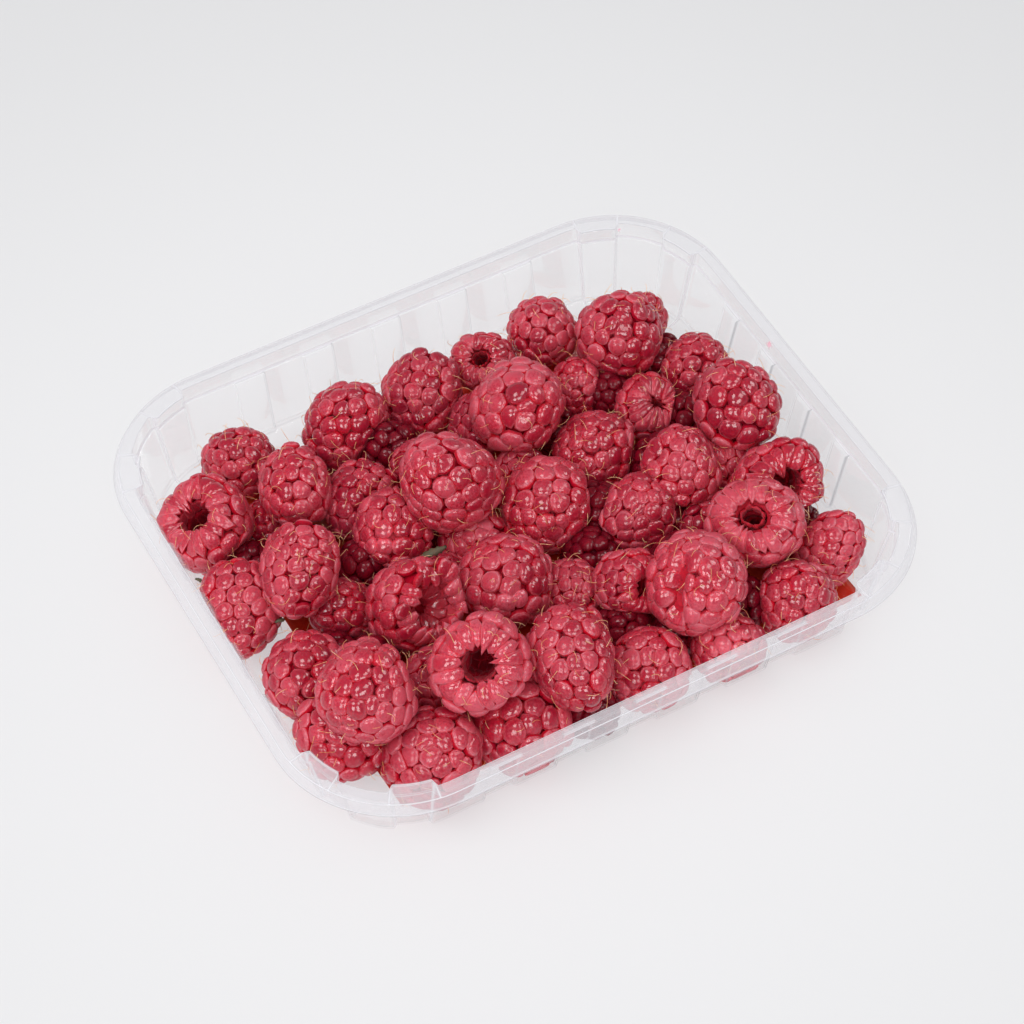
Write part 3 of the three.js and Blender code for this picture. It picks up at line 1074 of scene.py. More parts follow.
# Some low berries near the start, deep in the heap, have tones of 0.7 and 1: darker for where they
# lie, which is painted shade.
BERRIES = (
    Berry(-57.5, 43, 20, 18, 125, 65),
    Berry(14, 41, 17, 16.5, 60, -65, open=True, mouth=0.6),
    Berry(58, 33, 15.5, 17.5, 25, 65, tone=0.2),
    Berry(3, 24, 17.5, 17.5, tone=0.7),
    Berry(-18, 18, 16.5, 17.5, tone=0.7),
    Berry(3, 2, 17.5, 17.5, tone=0.7),
    Berry(52, -20, 19.5, 19.5, tone=0.1),
    Berry(36, -36, 16.5, 16.5, tone=0.7),
    Berry(-47, -45, 18.5, 18.5, tone=1.0),
    Berry(-16, -11, 19.5, 18.5, -75, 65, tone=0.2, patches=(Patch(-81, 60, 4, -1.0),)),
    Berry(-61, 21, 13, 13, tone=0.4),
    Berry(62, 12, 19.5, 20, -55, 75, tone=0.2),
    Berry(61, -58, 17.5, 21.5, 0, 70),
    Berry(
        -6, 39, 21.5, 20, -130, 0, tone=0.4,
        dents=(Dent(-147, 20, 2.6, 2.4), Dent(-111, 25, 2.6, 1.2)),
    ),
    Berry(-27, 40, 24, 24, 60, 75, tone=0.3),
    Berry(-78.5, -2, 22, 24.5, -115, -15, tone=0.1),
    Berry(32.5, 42, 19.5, 18, -120, 35),
    Berry(-37, 15, 18.5, 21.5, -145, 5, tone=0.5),
    Berry(-3, -37, 17, 18.5, -45, 50, tone=0.3),
    Berry(-55, -13, 17, 19.5, -150, 65, tone=0.3),
    Berry(10, -42, 18.5, 19.5, 110, -39, open=True, tone=0.2),
    Berry(-29, -17, 13, 14, tone=0.5),
    Berry(23, -71, 19.5, 18.5, -55, 75, tone=0.1, patches=(Patch(-125, 61, 5.5, -1.2),)),
    Berry(2, -67, 22.5, 19.5, -80, 80),
    Berry(-74, -28, 22, 22.5, -140, 25, tone=-0.1),
    Berry(-75, -50, 24, 18.5, -125, 0),
    Berry(-57, -64, 25.5, 22, -120, 70),
    Berry(-33, -66, 26.5, 20.5, -80, 60, tone=0.2, grain=1.1),
    Berry(44, 6, 18.5, 18.5, 100, -54, open=True, tone=0.1, slit=(-50, -16)),
    Berry(31, 21, 15.5, 17, 55, 85, tone=0.1),
    Berry(-50, 27, 19.5, 21.5, -115, 15, tone=-0.1, grain=1.1),
    Berry(
        -74, 26, 25.5, 24.5, 15, -60, open=True,
        dents=(Dent(-152, 37, 3.0, 2.4), Dent(-160, 21, 3.0, 2.6)),
    ),
    Berry(42, -16, 21, 20.5, 115, 75, tone=0.1, dents=(Dent(151, 42, 2.8, 2.5),)),
    Berry(-35, 2, 21.5, 17.5, -165, 25, tone=0.1, patches=(Patch(-131, 42, 4.5, -1.6),)),
    Berry(61, -32, 24, 22, 70, -50, open=True),
    Berry(45, -67, 21, 19.5, -75, 70, tone=0.1),
    Berry(-60, 2, 20.5, 23.5, -120, -10, tone=0.1),
    Berry(-14, -56, 22, 25, -105, 5, tone=0.1),
    Berry(24, -24, 21.5, 19.5, -135, 70, tone=0.2),
    Berry(24, 0, 22.5, 19.5, -140, 25, tone=0.1),
    Berry(66, -5, 24.5, 20, -125, 40, tone=0.1),
    Berry(51, 32, 24, 23.5, -120, 60, tone=0.1),
    Berry(
        -41, -21, 24.5, 24.5, 107, -30, open=True, flare=1.0,
        patches=(Patch(-42, 27, 7.0, -0.9),),
    ),
    Berry(5, -11, 25.5, 21.5, -110, 25, tone=-0.1),
    Berry(
        48, -42, 25, 24, 35, -70, open=True, mouth=0.52, tone=-0.1,
        dents=(Dent(6, 62, 3.0, 2.8),),
    ),
    Berry(
        15, 23, 25.5, 25.5, -120, 40, tone=-0.3, grain=1.1,
        patches=(Patch(-130, 69, 3.5, 1.2),),
    ),
    Berry(-13, 10, 26, 27, -115, 75, tone=-0.1),
    Berry(-16, -27, 24.5, 24, -110, 35, patches=(Patch(-108, 32, 3.6, -1.6),)),
    Berry(-63, -40, 25, 24, -120, 50, tone=-0.1),
    Berry(
        -33, -45, 26, 24, 60, -50, open=True, mouth=0.95, grain=1.08, tone=-0.4,
        dents=(Dent(98, 33, 8.0, 2.6), Dent(-82, -33, 8.0, 2.4)),
    ),
    Berry(
        26, -50, 26, 27.5, -105, 55, tone=-0.2,
        dents=(Dent(-177, 62, 2.1, 6.0, (-150, 0)), Dent(-118, 76, 4.5, -1.2)),
    ),
)

# Berries under the ones that show: x and y of the middle, and the width, in millimetres.
# They wear a darker copy of the skin, which is painted shade.
UNDER_BERRIES = (
    (-10, -46, 20), (-26, -38, 20), (30, -36, 20), (70, 2, 20), (-52, 14, 20),
    (-54, -24, 18), (24, 38, 18), (38, -50, 16), (44, 0, 16), (-18, 14, 16),
    (-42, 42, 16), (20, -50, 14), (-56, -40, 14), (-4, 18, 14), (26, 24, 14),
    (63, 31, 15), (-17, 38, 17), (65, -37, 14), (21, -7, 17), (13, -19, 16),
    (-12, -61, 15), (37, -20, 15), (-34, -8, 15), (54, -8, 15), (-59, -14, 13),
    (-41, 7, 15), (45, 27, 14), (59, 10, 15), (8, -44, 16), (-66, 23, 14),
)


@dataclass
class Laid:
    """A berry in its place: its middle, its size in metres and its tip's direction."""

    centre: np.ndarray
    radius: float
    width: float
    length: float
    tip: np.ndarray
    berry: Berry
    piece: Piece


@dataclass
class Skin:
    """A berry's vertices, its faces and the four skin channels of each vertex."""

    points: np.ndarray
    faces: list[np.ndarray]
    channels: np.ndarray


@dataclass
class Drupelets:
    """Where the drupelets of one berry sit, in the berry's own frame."""

    place: np.ndarray
    out: np.ndarray
    along: np.ndarray
    bend_along: np.ndarray
    bend_round: np.ndarray
    weight: np.ndarray
    pitch: float
    inside: np.ndarray
    tall: np.ndarray
    long: np.ndarray


def unit(vectors: np.ndarray) -> np.ndarray:
    """The vectors at length 1."""
    return vectors / np.maximum(np.linalg.norm(vectors, axis=-1, keepdims=True), TINY)


def fade(away: np.ndarray, spread: float) -> np.ndarray:
    """A soft spot's strength at distances from its middle, with its spread in millimetres."""
    return np.exp(-((away / (spread * MM)) ** 2))


def direction(heading: float, rise: float) -> np.ndarray:
    """The direction of a heading and a rise in degrees.

    Args:
        heading: The turn from +X, anticlockwise from above.
        rise: The angle above level.

    Returns:
        The direction, with a length of 1.
    """
    turn, lift = math.radians(heading), math.radians(rise)
    level = math.cos(lift)
    return np.array([level * math.cos(turn), level * math.sin(turn), math.sin(lift)])


@dataclass
class DrupeletForm:
    """The one closed shape that every drupelet starts from, as shares of reach and height."""

    sides: int = 12
    dome: tuple = ((0.0, 1.0), (0.38, 0.95), (0.68, 0.79), (0.88, 0.50), (1.0, 0.0))
    depth: float = 0.9

    def __post_init__(self) -> None:
        """Spins the profile, and finds the shape's top and its foot."""
        self.points, self.faces = spun([*self.dome, (0.0, -self.depth)], self.sides, 1e-5)
        self.apex = int(np.argmax(self.points[:, 2]))
        self.foot = int(np.argmin(self.points[:, 2]))


@dataclass(frozen=True)
class Row:
    """A row of drupelets: its run along the base line, their spacing, height and length.

    Inside is 0 on the outer skin, 0.5 just within a hollow and 1 deep in it.
    """

    at: float
    spacing: float
    height: float = 1.0
    long: float = 1.0
    inside: float = 0.0


@dataclass
class Raspberry:
    """One raspberry in its own frame: tip up, hollow end down, drupelet by drupelet."""

    width: float
    length: float
    berry: Berry
    draw: np.random.Generator
    form: DrupeletForm
    core_sides: int = 20
    core_rings: int = 22
    line_steps: int = 160
    pitch_share: float = 0.155
    pitch_least: float = 1.05 * MM
    row_step: float = 0.87
    jitter: float = 0.09
    relief: float = 0.64
    packed: float = 1.17
    widest: float = 0.58
    sharpness: float = 8.0
    rise_spread: tuple = (0.85, 1.15)
    lean_spread: float = 0.10
    proud_spread: float = 0.035

    def outline(self) -> np.ndarray:
        """The berry's half section from its hollow end to its tip, as smooth points.

        Returns:
            Distances from the axis, with their heights.
        """
        body = [(0.86, -0.80), (1.0, -0.35), (0.975, 0.10), (0.84, 0.50), (0.54, 0.84)]
        tip = [(0.24, 0.985), (0.0, 1.0)]
        flare = self.berry.flare
        if self.berry.open:
            hole = [(0.0, 0.42), (0.15, 0.35), (0.24, 0.0), (0.23, -0.45), (0.28, -0.84)]
            cup = [(0.0, -0.05), (0.06, -0.25), (0.10, -0.48), (0.30, -0.68), (0.55, -0.88)]
            plain, wide = np.array(hole) * np.array([self.berry.mouth, 1.0]), np.array(cup)
            inner = plain + (wide - plain) * flare
            end = [*inner, (0.58 + flare * 0.12, -1.0)]
        else:
            end = [(0.0, -0.86), (0.30, -0.92), (0.60, -0.94)]
        rough = np.array([*end, *body, *tip])
        rough = rough * np.array([self.width / 2, self.length / 2])
        return self.smooth(rough)

    @staticmethod
    def smooth(rough: np.ndarray, steps: int = 10) -> np.ndarray:
        """A curve through the points.

        Args:
            rough: The points.
            steps: Steps between two of them.

        Returns:
            The finer points.
        """
        padded = np.vstack([2 * rough[0] - rough[1], rough, 2 * rough[-1] - rough[-2]])
        share = np.linspace(0, 1, steps, endpoint=False)[:, None]
        found = []
        for a, b, c, d in zip(padded, padded[1:], padded[2:], padded[3:]):
            cubic = 2 * b + (c - a) * share + (2 * a - 5 * b + 4 * c - d) * share ** 2
            found.append((cubic + (3 * b - a - 3 * c + d) * share ** 3) / 2)
        fine = np.vstack([*found, rough[-1:]])
        fine[:, 0] = np.maximum(fine[:, 0], 0.0)
        return fine

    def base_line(self, depth: float) -> tuple[np.ndarray, np.ndarray, np.ndarray]:
        """The line under the drupelets, on even steps.

        Args:
            depth: How far it lies under the outline.

        Returns:
            The points, their outward normals and their bend.
        """
        line = self.outline()
        for _ in range(3):
            gap = np.linalg.norm(np.diff(line, axis=0), axis=1)
            run = np.concatenate([[0.0], np.cumsum(gap)])
            even = np.linspace(0, run[-1], self.line_steps)
            line = np.column_stack([np.interp(even, run, line[:, k]) for k in (0, 1)])
        ahead = unit(np.gradient(line, axis=0))
        out = np.column_stack([ahead[:, 1], -ahead[:, 0]])
        inner = line - out * depth
        inner[:, 0] = np.maximum(inner[:, 0], 0.0)
        step = np.linalg.norm(np.gradient(inner, axis=0), axis=1)
        turning = np.einsum("ij,ij->i", np.gradient(out, axis=0), ahead)
        bend = turning / np.maximum(step, 0.02 * MM)
        return inner, out, bend

    def rows(self, run: np.ndarray, level: np.ndarray, pitch: float) -> list[Row]:
        """The rows of drupelets along the base line.

        Args:
            run: The run along the line at each of its points.
            level: The height of each point.
            pitch: The spacing of the drupelets.

        Returns:
            The rows, from the hollow end to the tip.
        """
        total, flare = run[-1], self.berry.flare
        if not self.berry.open:
            count = max(4, round(total / (self.row_step * pitch)))
            return [Row(total * (index + 0.5) / count, pitch) for index in range(count)]
        crest = run[int(np.argmin(level))] + 0.1 * pitch
        inner = []
        at = crest - (1.3 + 0.4 * flare) * pitch
        fine = (0.48 - 0.14 * flare) * pitch
        while at > 0.25 * pitch:
            inside = 1.0 if inner else 0.5
            height = 0.8 if inner else 0.4
            inner.append(Row(at, fine, height, 1.3 + 1.2 * flare, inside))
            at -= (1.05 + 1.0 * flare) * pitch
        first = crest + 1.3 * pitch
        count = max(2, round((total - first) / (self.row_step * pitch)))
        step = (total - first) / (count - 0.5)
        outer = [Row(first + step * index, pitch) for index in range(count)]
        lip = Row(crest, 0.54 * pitch, 0.8, 1.6 - 0.6 * flare)
        return [*reversed(inner), lip, *outer]

    def drupelets(self) -> Drupelets:
        """Places the drupelets in staggered rows, each a little off its place.

        Returns:
            The drupelets.
        """
        pitch = (self.pitch_share * self.width + self.pitch_least) * self.berry.grain
        line, out, bend = self.base_line(self.relief * pitch / 2)
        step = np.linalg.norm(np.diff(line, axis=0), axis=1)
        run = np.concatenate([[0.0], np.cumsum(step)])
        spots = []
        phase = self.draw.uniform(0, 1)
        for row in self.rows(run, line[:, 1], pitch):
            radius = np.interp(row.at, run, line[:, 0])
            count = round(2 * math.pi * radius / row.spacing) if radius > 0.3 * pitch else 1
            phase += 0.5 + self.draw.uniform(-0.12, 0.12)
            for index in range(count):
                at = row.at + self.draw.normal(0, self.jitter) * pitch
                at = min(max(at, 0.0), run[-1])
                angle = 2 * math.pi * (index + phase + self.draw.normal(0, self.jitter)) / count
                radial = np.array([math.cos(angle), math.sin(angle), 0.0])
                r, z = (np.interp(at, run, line[:, k]) for k in (0, 1))
                n_r, n_z = (np.interp(at, run, out[:, k]) for k in (0, 1))
                if count == 1:
                    r, n_r, n_z = 0.0, 0.0, math.copysign(1.0, n_z)
                place = radial * r + np.array([0.0, 0.0, z])
                normal = unit(radial * n_r + np.array([0.0, 0.0, n_z]))
                along = np.cross(normal, [-radial[1], radial[0], 0.0])
                bends = (np.interp(at, run, bend), n_r / max(r, 0.35 * pitch))
                spots.append((place, normal, along, bends, (row.inside, row.height, row.long)))
        place, normal, along, bends, forms = (np.array(part) for part in zip(*spots))
        limit = 1.6 / pitch
        bend_along, bend_round = np.clip(bends, -limit, limit).T
        weight = self.draw.uniform(0.78, 1.26, len(place))
        return Drupelets(
            place, normal, unit(along), bend_along, bend_round, weight, pitch, *forms.T
        )

    def cell_reach(self, seeds: Drupelets, angles: np.ndarray) -> np.ndarray:
        """How far each drupelet reaches before it meets its neighbours.

        Args:
            seeds: The drupelets.
            angles: The directions in each drupelet's own plane.

        Returns:
            The reach, one row for each drupelet.
        """
        around = np.cross(seeds.out, seeds.along)
        gap = seeds.place[None, :, :] - seeds.place[:, None, :]
        span = np.linalg.norm(gap, axis=2)
        flat_a = np.einsum("ijk,ik->ij", gap, seeds.along)
        flat_b = np.einsum("ijk,ik->ij", gap, around)
        toward = np.arctan2(flat_b, flat_a)
        share = seeds.weight[:, None] / (seeds.weight[:, None] + seeds.weight[None, :])
        same_side = np.einsum("ik,jk->ij", seeds.out, seeds.out) > -0.3
        near = (span > 0.05 * seeds.pitch) & (span < 2.2 * seeds.pitch) & same_side
        half = np.where(near, span * share, 1.0)
        lean = np.cos(angles[None, None, :] - toward[:, :, None])
        pull = np.where(near[:, :, None], np.maximum(lean, 0.0) / half[:, :, None], 0.0)
        sharp = self.sharpness
        lengthwise = np.cos(angles)[None, :] / seeds.long[:, None]
        widest = np.hypot(lengthwise, np.sin(angles)[None, :]) / (self.widest * seeds.pitch)
        return (widest ** sharp + np.sum(pull ** sharp, axis=1)) ** (-1.0 / sharp)

    def build(self) -> Skin:
        """Builds the berry's drupelets and the dark core that they stand on.

        Returns:
            The berry in its own frame.
        """
        seeds = self.drupelets()
        around = np.cross(seeds.out, seeds.along)
        form = self.form.points
        spread = np.hypot(form[:, 0], form[:, 1])
        angles = np.arctan2(form[:, 1], form[:, 0])
        reach = self.cell_reach(seeds, angles) * self.packed
        a = reach * spread * np.cos(angles)
        b = reach * spread * np.sin(angles)
        count = len(seeds.place)
        height = self.relief * seeds.pitch / 2 * self.draw.uniform(*self.rise_spread, count)
        height = height * seeds.tall
        height = height * np.clip(reach.mean(axis=1) / (0.5 * seeds.pitch), 0.6, 1.25)
        lean = self.draw.normal(0, self.lean_spread, (count, 2))
        drop = (seeds.bend_along[:, None] * a ** 2 + seeds.bend_round[:, None] * b ** 2) / 2
        tilt_a = a * seeds.bend_along[:, None] + lean[:, :1]
        tilt_b = b * seeds.bend_round[:, None] + lean[:, 1:]
        along, side = seeds.along[:, None, :], around[:, None, :]
        out = seeds.out[:, None, :]
        up = unit(out + along * tilt_a[..., None] + side * tilt_b[..., None])
        flat = seeds.place[:, None, :] + along * a[..., None] + side * b[..., None]
        lift = height[:, None, None] * form[None, :, 2:]
        proud = self.draw.normal(0, self.proud_spread, count)[:, None, None] * seeds.pitch
        points = flat + out * (proud - drop[..., None]) + up * lift
        rise = np.broadcast_to(np.clip(form[:, 2], 0.0, 1.0), (count, len(form)))
        shade = np.broadcast_to(self.draw.uniform(0, 1, (count, 1)), rise.shape)
        inside = np.broadcast_to(seeds.inside[:, None], rise.shape)
        channels = np.stack([rise, shade, np.zeros_like(rise), inside], axis=-1)
        skins = [points.reshape(-1, 3)]
        tints = [channels.reshape(-1, 4)]
        joined = [face + index * len(form) for index in range(count) for face in self.form.faces]
        core, core_faces = self.core(0.5 * height.mean() + self.relief * seeds.pitch / 2)
        joined += [face + count * len(form) for face in core_faces]
        skins.append(core)
        # The core shows only in the gaps between the drupelets; its drupelet channel of 0.8 darkens
        # it a little towards wine, as painted shade there.
        tints.append(np.tile([0.0, 0.8, 0.0, 0.0], (len(core), 1)))
        return Skin(np.vstack(skins), joined, np.vstack(tints))

    def core(self, depth: float) -> tuple[np.ndarray, list[np.ndarray]]:
        """The closed body under the drupelets.

        Args:
            depth: How far it lies under the outline.

        Returns:
            Its vertices and faces.
        """
        line, _, _ = self.base_line(depth)
        picked = line[:: max(1, len(line) // self.core_rings)]
        picked = np.vstack([picked, line[-1:]])
        picked[[0, -1], 0] = 0.0
        return spun(picked, self.core_sides, 0.02 * MM)


@dataclass
class Heap:
    """The loose raspberries: settles them, presses them together and joins them."""

    tray: Tray
    pour_point: tuple = (-248 * MM, -461.2 * MM, 667.3 * MM)
    rim_height: float = 25.1 * MM
    floor: float = 2.3 * MM
    squash: float = 0.84
    sit: float = 0.92
    wall_gap: float = 0.35 * MM
    wall_levels: tuple = (1.3 * MM, 20.4 * MM, 25.1 * MM)
    wall_insets: tuple = (9.7 * MM, 5.8 * MM, 4.9 * MM)
    over_rim: float = 27 * MM
    lug_start: float = 7.5
    lug_levels: tuple = (20 * MM, 25 * MM)
    rib_levels: tuple = (19.5 * MM, 20.6 * MM)
    sunk: float = 0.1 * MM
    touching: float = 1.12
    press: float = 0.9 * MM
    lap: float = 0.8 * MM
    pinch: float = 0.55
    swell: float = 0.045
    sway: float = 0.06
    stretch: float = 0.03
    seed: int = 7
    low_below: float = 11.4 * MM
    middle_below: float = 15.2 * MM
    finish: RaspberrySkin = RaspberrySkin()
    # A darker copy of the skin for the berries underneath, which is painted shade.
    painted_shade_finish: RaspberrySkin = RaspberrySkin(
        name="raspberry_skin_painted_shade",
        crease=opaque(0.20, 0.001, 0.008),
        flesh=opaque(0.24, 0.003, 0.012),
        bloom_and_sheen=opaque(0.26, 0.012, 0.026),
        wine_and_shade=opaque(0.09, 0.001, 0.008),
        sheen=0.0,
        coat=0.45,
        painted_glow=0.05,
    )
    kept_styles: float = 0.52
    styles_above: float = 7 * MM
    styles: list[tuple[np.ndarray, np.ndarray]] = field(default_factory=list)

    def settle(self) -> list[Laid]:
        """Lets the berries down in order, each until it meets the floor or another.

        Returns:
            The berries in their places.
        """
        down: list[Laid] = []
        start = np.array(self.pour_point)
        for berry in BERRIES:
            radius = (berry.width + berry.length) * MM / 4
            goal = np.array([berry.x * MM, berry.y * MM, self.rim_height])
            line = unit(goal - start)
            travel = (self.floor + radius * self.sit - start[2]) / line[2]
            for other in down:
                reach = self.squash * (radius + other.radius)
                back = start - other.centre
                half = back @ line
                inside = half * half - (back @ back - reach * reach)
                if inside > 0:
                    travel = min(travel, -half - math.sqrt(inside))
            centre = start + line * travel
            piece = self.piece_for(centre[2])
            tip = direction(berry.heading, berry.rise)
            size = (berry.width * MM, berry.length * MM)
            down.append(Laid(centre, radius, *size, tip, berry, piece))
        return down

    def piece_for(self, height: float) -> Piece:
        """The mesh that a berry goes into, by the height of its middle."""
        if height < self.low_below:
            return Piece.LOW
        return Piece.MIDDLE if height < self.middle_below else Piece.TOP

    def under(self) -> list[Laid]:
        """The berries underneath, standing on the floor of the heap.

        Returns:
            The berries, each in its place.
        """
        found = []
        for x, y, width in UNDER_BERRIES:
            # Their full tone darkens them further: painted shade.
            berry = Berry(x, y, width, width, 0, 90, tone=1.0, grain=1.2)
            size = width * MM
            centre = np.array([x * MM, y * MM, self.floor + size / 2 * self.sit])
            up = np.array([0.0, 0.0, 1.0])
            found.append(Laid(centre, size / 2, size, size, up, berry, Piece.UNDER))
        return found

    def warp(self, laid: Laid, points: np.ndarray, draw: np.random.Generator) -> None:
        """Makes a berry uneven, in its own frame.

        Args:
            laid: The berry's place.
            points: Its vertices, which are moved.
            draw: The berry's random draws.
        """
        half = laid.length / 2
        angle = np.arctan2(points[:, 1], points[:, 0])
        level = points[:, 2] / half
        swell = np.ones(len(points))
        for waves in (1, 2, 3):
            size = draw.normal(0, self.swell / waves ** 0.5)
            slant = draw.uniform(0, 2 * math.pi)
            swell += size * np.cos(waves * angle + slant + draw.normal(0, 0.8) * level)
        points[:, :2] *= swell[:, None]
        sway = draw.normal(0, self.sway, 2) * half
        points[:, :2] += np.clip(level, -1.0, 1.2)[:, None] * sway
        longer = 1 + draw.normal(0, self.stretch)
        points[:, 2] *= longer + 0.05 * np.cos(angle + draw.uniform(0, 6.28))

    def turned(self, laid: Laid, points: np.ndarray, draw: np.random.Generator) -> np.ndarray:
        """Turns a berry's tip to its heading and rise, and pinches its hole where it is a slit.

        Args:
            laid: The berry's place.
            points: Its vertices, in its own frame.
            draw: The berry's random draws.

        Returns:
            The turned vertices, still about the berry's middle.
        """
        upright = Vector((0, 0, 1)).rotation_difference(Vector(laid.tip)).to_matrix()
        spin = draw.uniform(0, 2 * math.pi)
        if laid.berry.slit is not None:
            long_way = upright.transposed() @ Vector(direction(*laid.berry.slit))
            spin = math.atan2(long_way.y, long_way.x)
            reach = np.hypot(points[:, 0], points[:, 1]) / (0.30 * laid.width)
            inside = np.clip(1.0 - reach, 0.0, 1.0) * (points[:, 2] < 0.15 * laid.length)
            points[:, 1] *= 1.0 - self.pinch * np.minimum(inside * 2.5, 1.0)
        return points @ np.array(upright @ Matrix.Rotation(spin, 3, "Z")).T

    def tone(self, laid: Laid, points: np.ndarray, draw: np.random.Generator) -> np.ndarray:
        """A berry's tone at each vertex.

        Args:
            laid: The berry's place.
            points: Its turned vertices, about its middle.
            draw: The berry's random draws.

        Returns:
            The tone, from 0, pale, to 1, ripe; on the low berries a high tone is also painted
            shade.
        """
        tone = np.full(len(points), 0.5 + 0.5 * laid.berry.tone + draw.normal(0, 0.05))
        for patch in laid.berry.patches:
            spot = direction(patch.heading, patch.rise) * laid.radius
            away = np.linalg.norm(points - spot, axis=1)
            tone += fade(away, patch.spread) * patch.tone / 2
        return np.clip(tone, 0, 1)

    def shape(self, laid: Laid, skin: Skin, draw: np.random.Generator) -> np.ndarray:
        """Makes a berry uneven, turns it to its tip, dents it and moves it to its place.

        Args:
            laid: The berry's place.
            skin: The berry in its own frame, which gets its tone.
            draw: The berry's random draws.

        Returns:
            The moved vertices.
        """
        self.warp(laid, skin.points, draw)
        points = self.turned(laid, skin.points, draw)
        skin.channels[:, 2] = self.tone(laid, points, draw)
        for dent in laid.berry.dents:
            push = fade(dent.away(points, laid.radius), dent.spread) * dent.depth * MM
            points -= unit(points) * push[:, None]
        return points + laid.centre

    def soft_stop(self, excess: np.ndarray) -> np.ndarray:
        """How far to push back points that come near or past a stop.

        Args:
            excess: How far each point is past the stop, below zero before it.

        Returns:
            The push, which grows softly from a press before the stop.
        """
        into = excess + self.press
        kept = self.press * (1 - np.exp(-np.maximum(into, 0.0) / self.press))
        return np.where(into > 0, into - kept, 0.0)

    def press_together(self, laid: Laid, points: np.ndarray, others: list[Laid]) -> np.ndarray:
        """Flattens a berry where it meets the others.

        Args:
            laid: The berry.
            points: Its vertices.
            others: All berries.

        Returns:
            The pressed vertices.
        """
        for other in others:
            gap = other.centre - laid.centre
            span = np.linalg.norm(gap)
            if other is laid or span > (laid.radius + other.radius) * self.touching:
                continue
            toward = gap / span
            stop = span * laid.radius / (laid.radius + other.radius)
            excess = (points - laid.centre) @ toward - stop - self.lap
            points = points - toward * self.soft_stop(excess)[:, None]
        return points

    def keep_in(self, points: np.ndarray) -> np.ndarray:
        """Keeps a berry inside the tray's walls and on the pad.

        Args:
            points: The berry's vertices.

        Returns:
            The vertices, pressed in where they came too near.
        """
        tray = self.tray
        height = points[:, 2]
        wall = np.interp(height, self.wall_levels, self.wall_insets)
        lugs = np.interp(height, self.lug_levels, [tray.lug_depth, tray.lug_depth_at_bead])
        ribs = np.interp(height, self.rib_levels, [tray.rib_depth, 0.0])
        reach = np.array([tray.length / 2 - tray.corner, tray.width / 2 - tray.corner])
        past = np.abs(points[:, :2]) - reach
        turned = np.degrees(np.arctan2(np.maximum(past[:, 1], 0), np.maximum(past[:, 0], 0)))
        lugs *= np.clip(np.minimum(turned, 90.0 - turned) / self.lug_start, 0.0, 1.0)
        ribs *= np.where(
            past[:, 1] > past[:, 0],
            tray.rib_share(points[:, 0], tray.long_ribs),
            tray.rib_share(points[:, 1], tray.short_ribs),
        )
        wall = wall + np.maximum(lugs, ribs) + self.wall_gap
        wall -= np.maximum(height - self.over_rim, 0.0) * 2
        for _ in range(2):
            offset = points[:, :2] - np.clip(points[:, :2], -reach, reach)
            excess = np.linalg.norm(offset, axis=1) - (tray.corner - wall)
            points[:, :2] -= unit(offset) * self.soft_stop(excess)[:, None]
        points[:, 2] += self.soft_stop(self.floor - self.sunk - points[:, 2])
        return points

    def place(self, laid: Laid, number: int, others: list[Laid], form: DrupeletForm) -> Skin:
        """Builds one berry in its place.

        Args:
            laid: The berry's place.
            number: Its number, which seeds its draws.
            others: All berries.
            form: The drupelet's form.

        Returns:
            The finished berry.
        """
        draw = np.random.default_rng(self.seed * 1000 + number)
        skin = Raspberry(laid.width, laid.length, laid.berry, draw, form).build()
        points = self.shape(laid, skin, draw)
        points = self.keep_in(self.press_together(laid, points, others))
        if laid.piece is not Piece.UNDER:
            self.note_styles(points, skin, draw, form)
        return Skin(points, skin.faces, skin.channels)

    def note_styles(
        self, points: np.ndarray, skin: Skin, draw: np.random.Generator, form: DrupeletForm
    ) -> None:
        """Picks the drupelets that keep their dry style.

        Args:
            points: The berry's vertices, drupelet after drupelet.
            skin: The berry's skin.
            draw: The berry's random draws.
            form: The drupelet's form.
        """
        count = int(np.count_nonzero(skin.channels[:, 0] > 0.999))
        for first in range(0, count * len(form.points), len(form.points)):
            apex = points[first + form.apex]
            foot = points[first + form.foot]
            out = unit(apex - foot)
            free = apex[2] > self.styles_above and out[2] > -0.4 and skin.channels[first, 3] < 0.2
            if draw.uniform() < self.kept_styles and free:
                self.styles.append((apex, out))

    def build(self) -> list[bpy.types.Object]:
        """Builds every berry and joins them into their meshes.

        Returns:
            The finished pieces.
        """
        form = DrupeletForm()
        laid = [*self.settle(), *self.under()]
        joined: dict[Piece, list[Skin]] = {piece: [] for piece in Piece}
        for number, one in enumerate(laid):
            joined[one.piece].append(self.place(one, number, laid, form))
        shown, deep = self.finish.make(), self.painted_shade_finish.make()
        pieces = []
        for piece, skins in joined.items():
            made = self.join(piece.value, skins)
            # The berries underneath wear the darker skin, which is painted shade.
            material = deep if piece is Piece.UNDER else shown
            pieces.append(settle_in(made, material, "berries"))
        return pieces

    def join(self, name: str, skins: list[Skin]) -> bpy.types.Object:
        """Joins berries into one mesh with their skin channels.

        Args:
            name: The piece's name.
            skins: The berries.

        Returns:
            The new object.
        """
        starts = np.cumsum([0, *[len(skin.points) for skin in skins[:-1]]])
        points = np.vstack([skin.points for skin in skins])
        faces = [face + start for skin, start in zip(skins, starts) for face in skin.faces]
        mesh = bpy.data.meshes.new(name)
        mesh.from_pydata(points.tolist(), [], [face.tolist() for face in faces])
        skin = mesh.attributes.new(SKIN_ATTRIBUTE, "FLOAT_COLOR", "POINT")
        channels = np.vstack([one.channels for one in skins]).astype(np.float32)
        skin.data.foreach_set("color", channels.ravel())
        mesh.shade_smooth()
        return add_object(name, mesh)


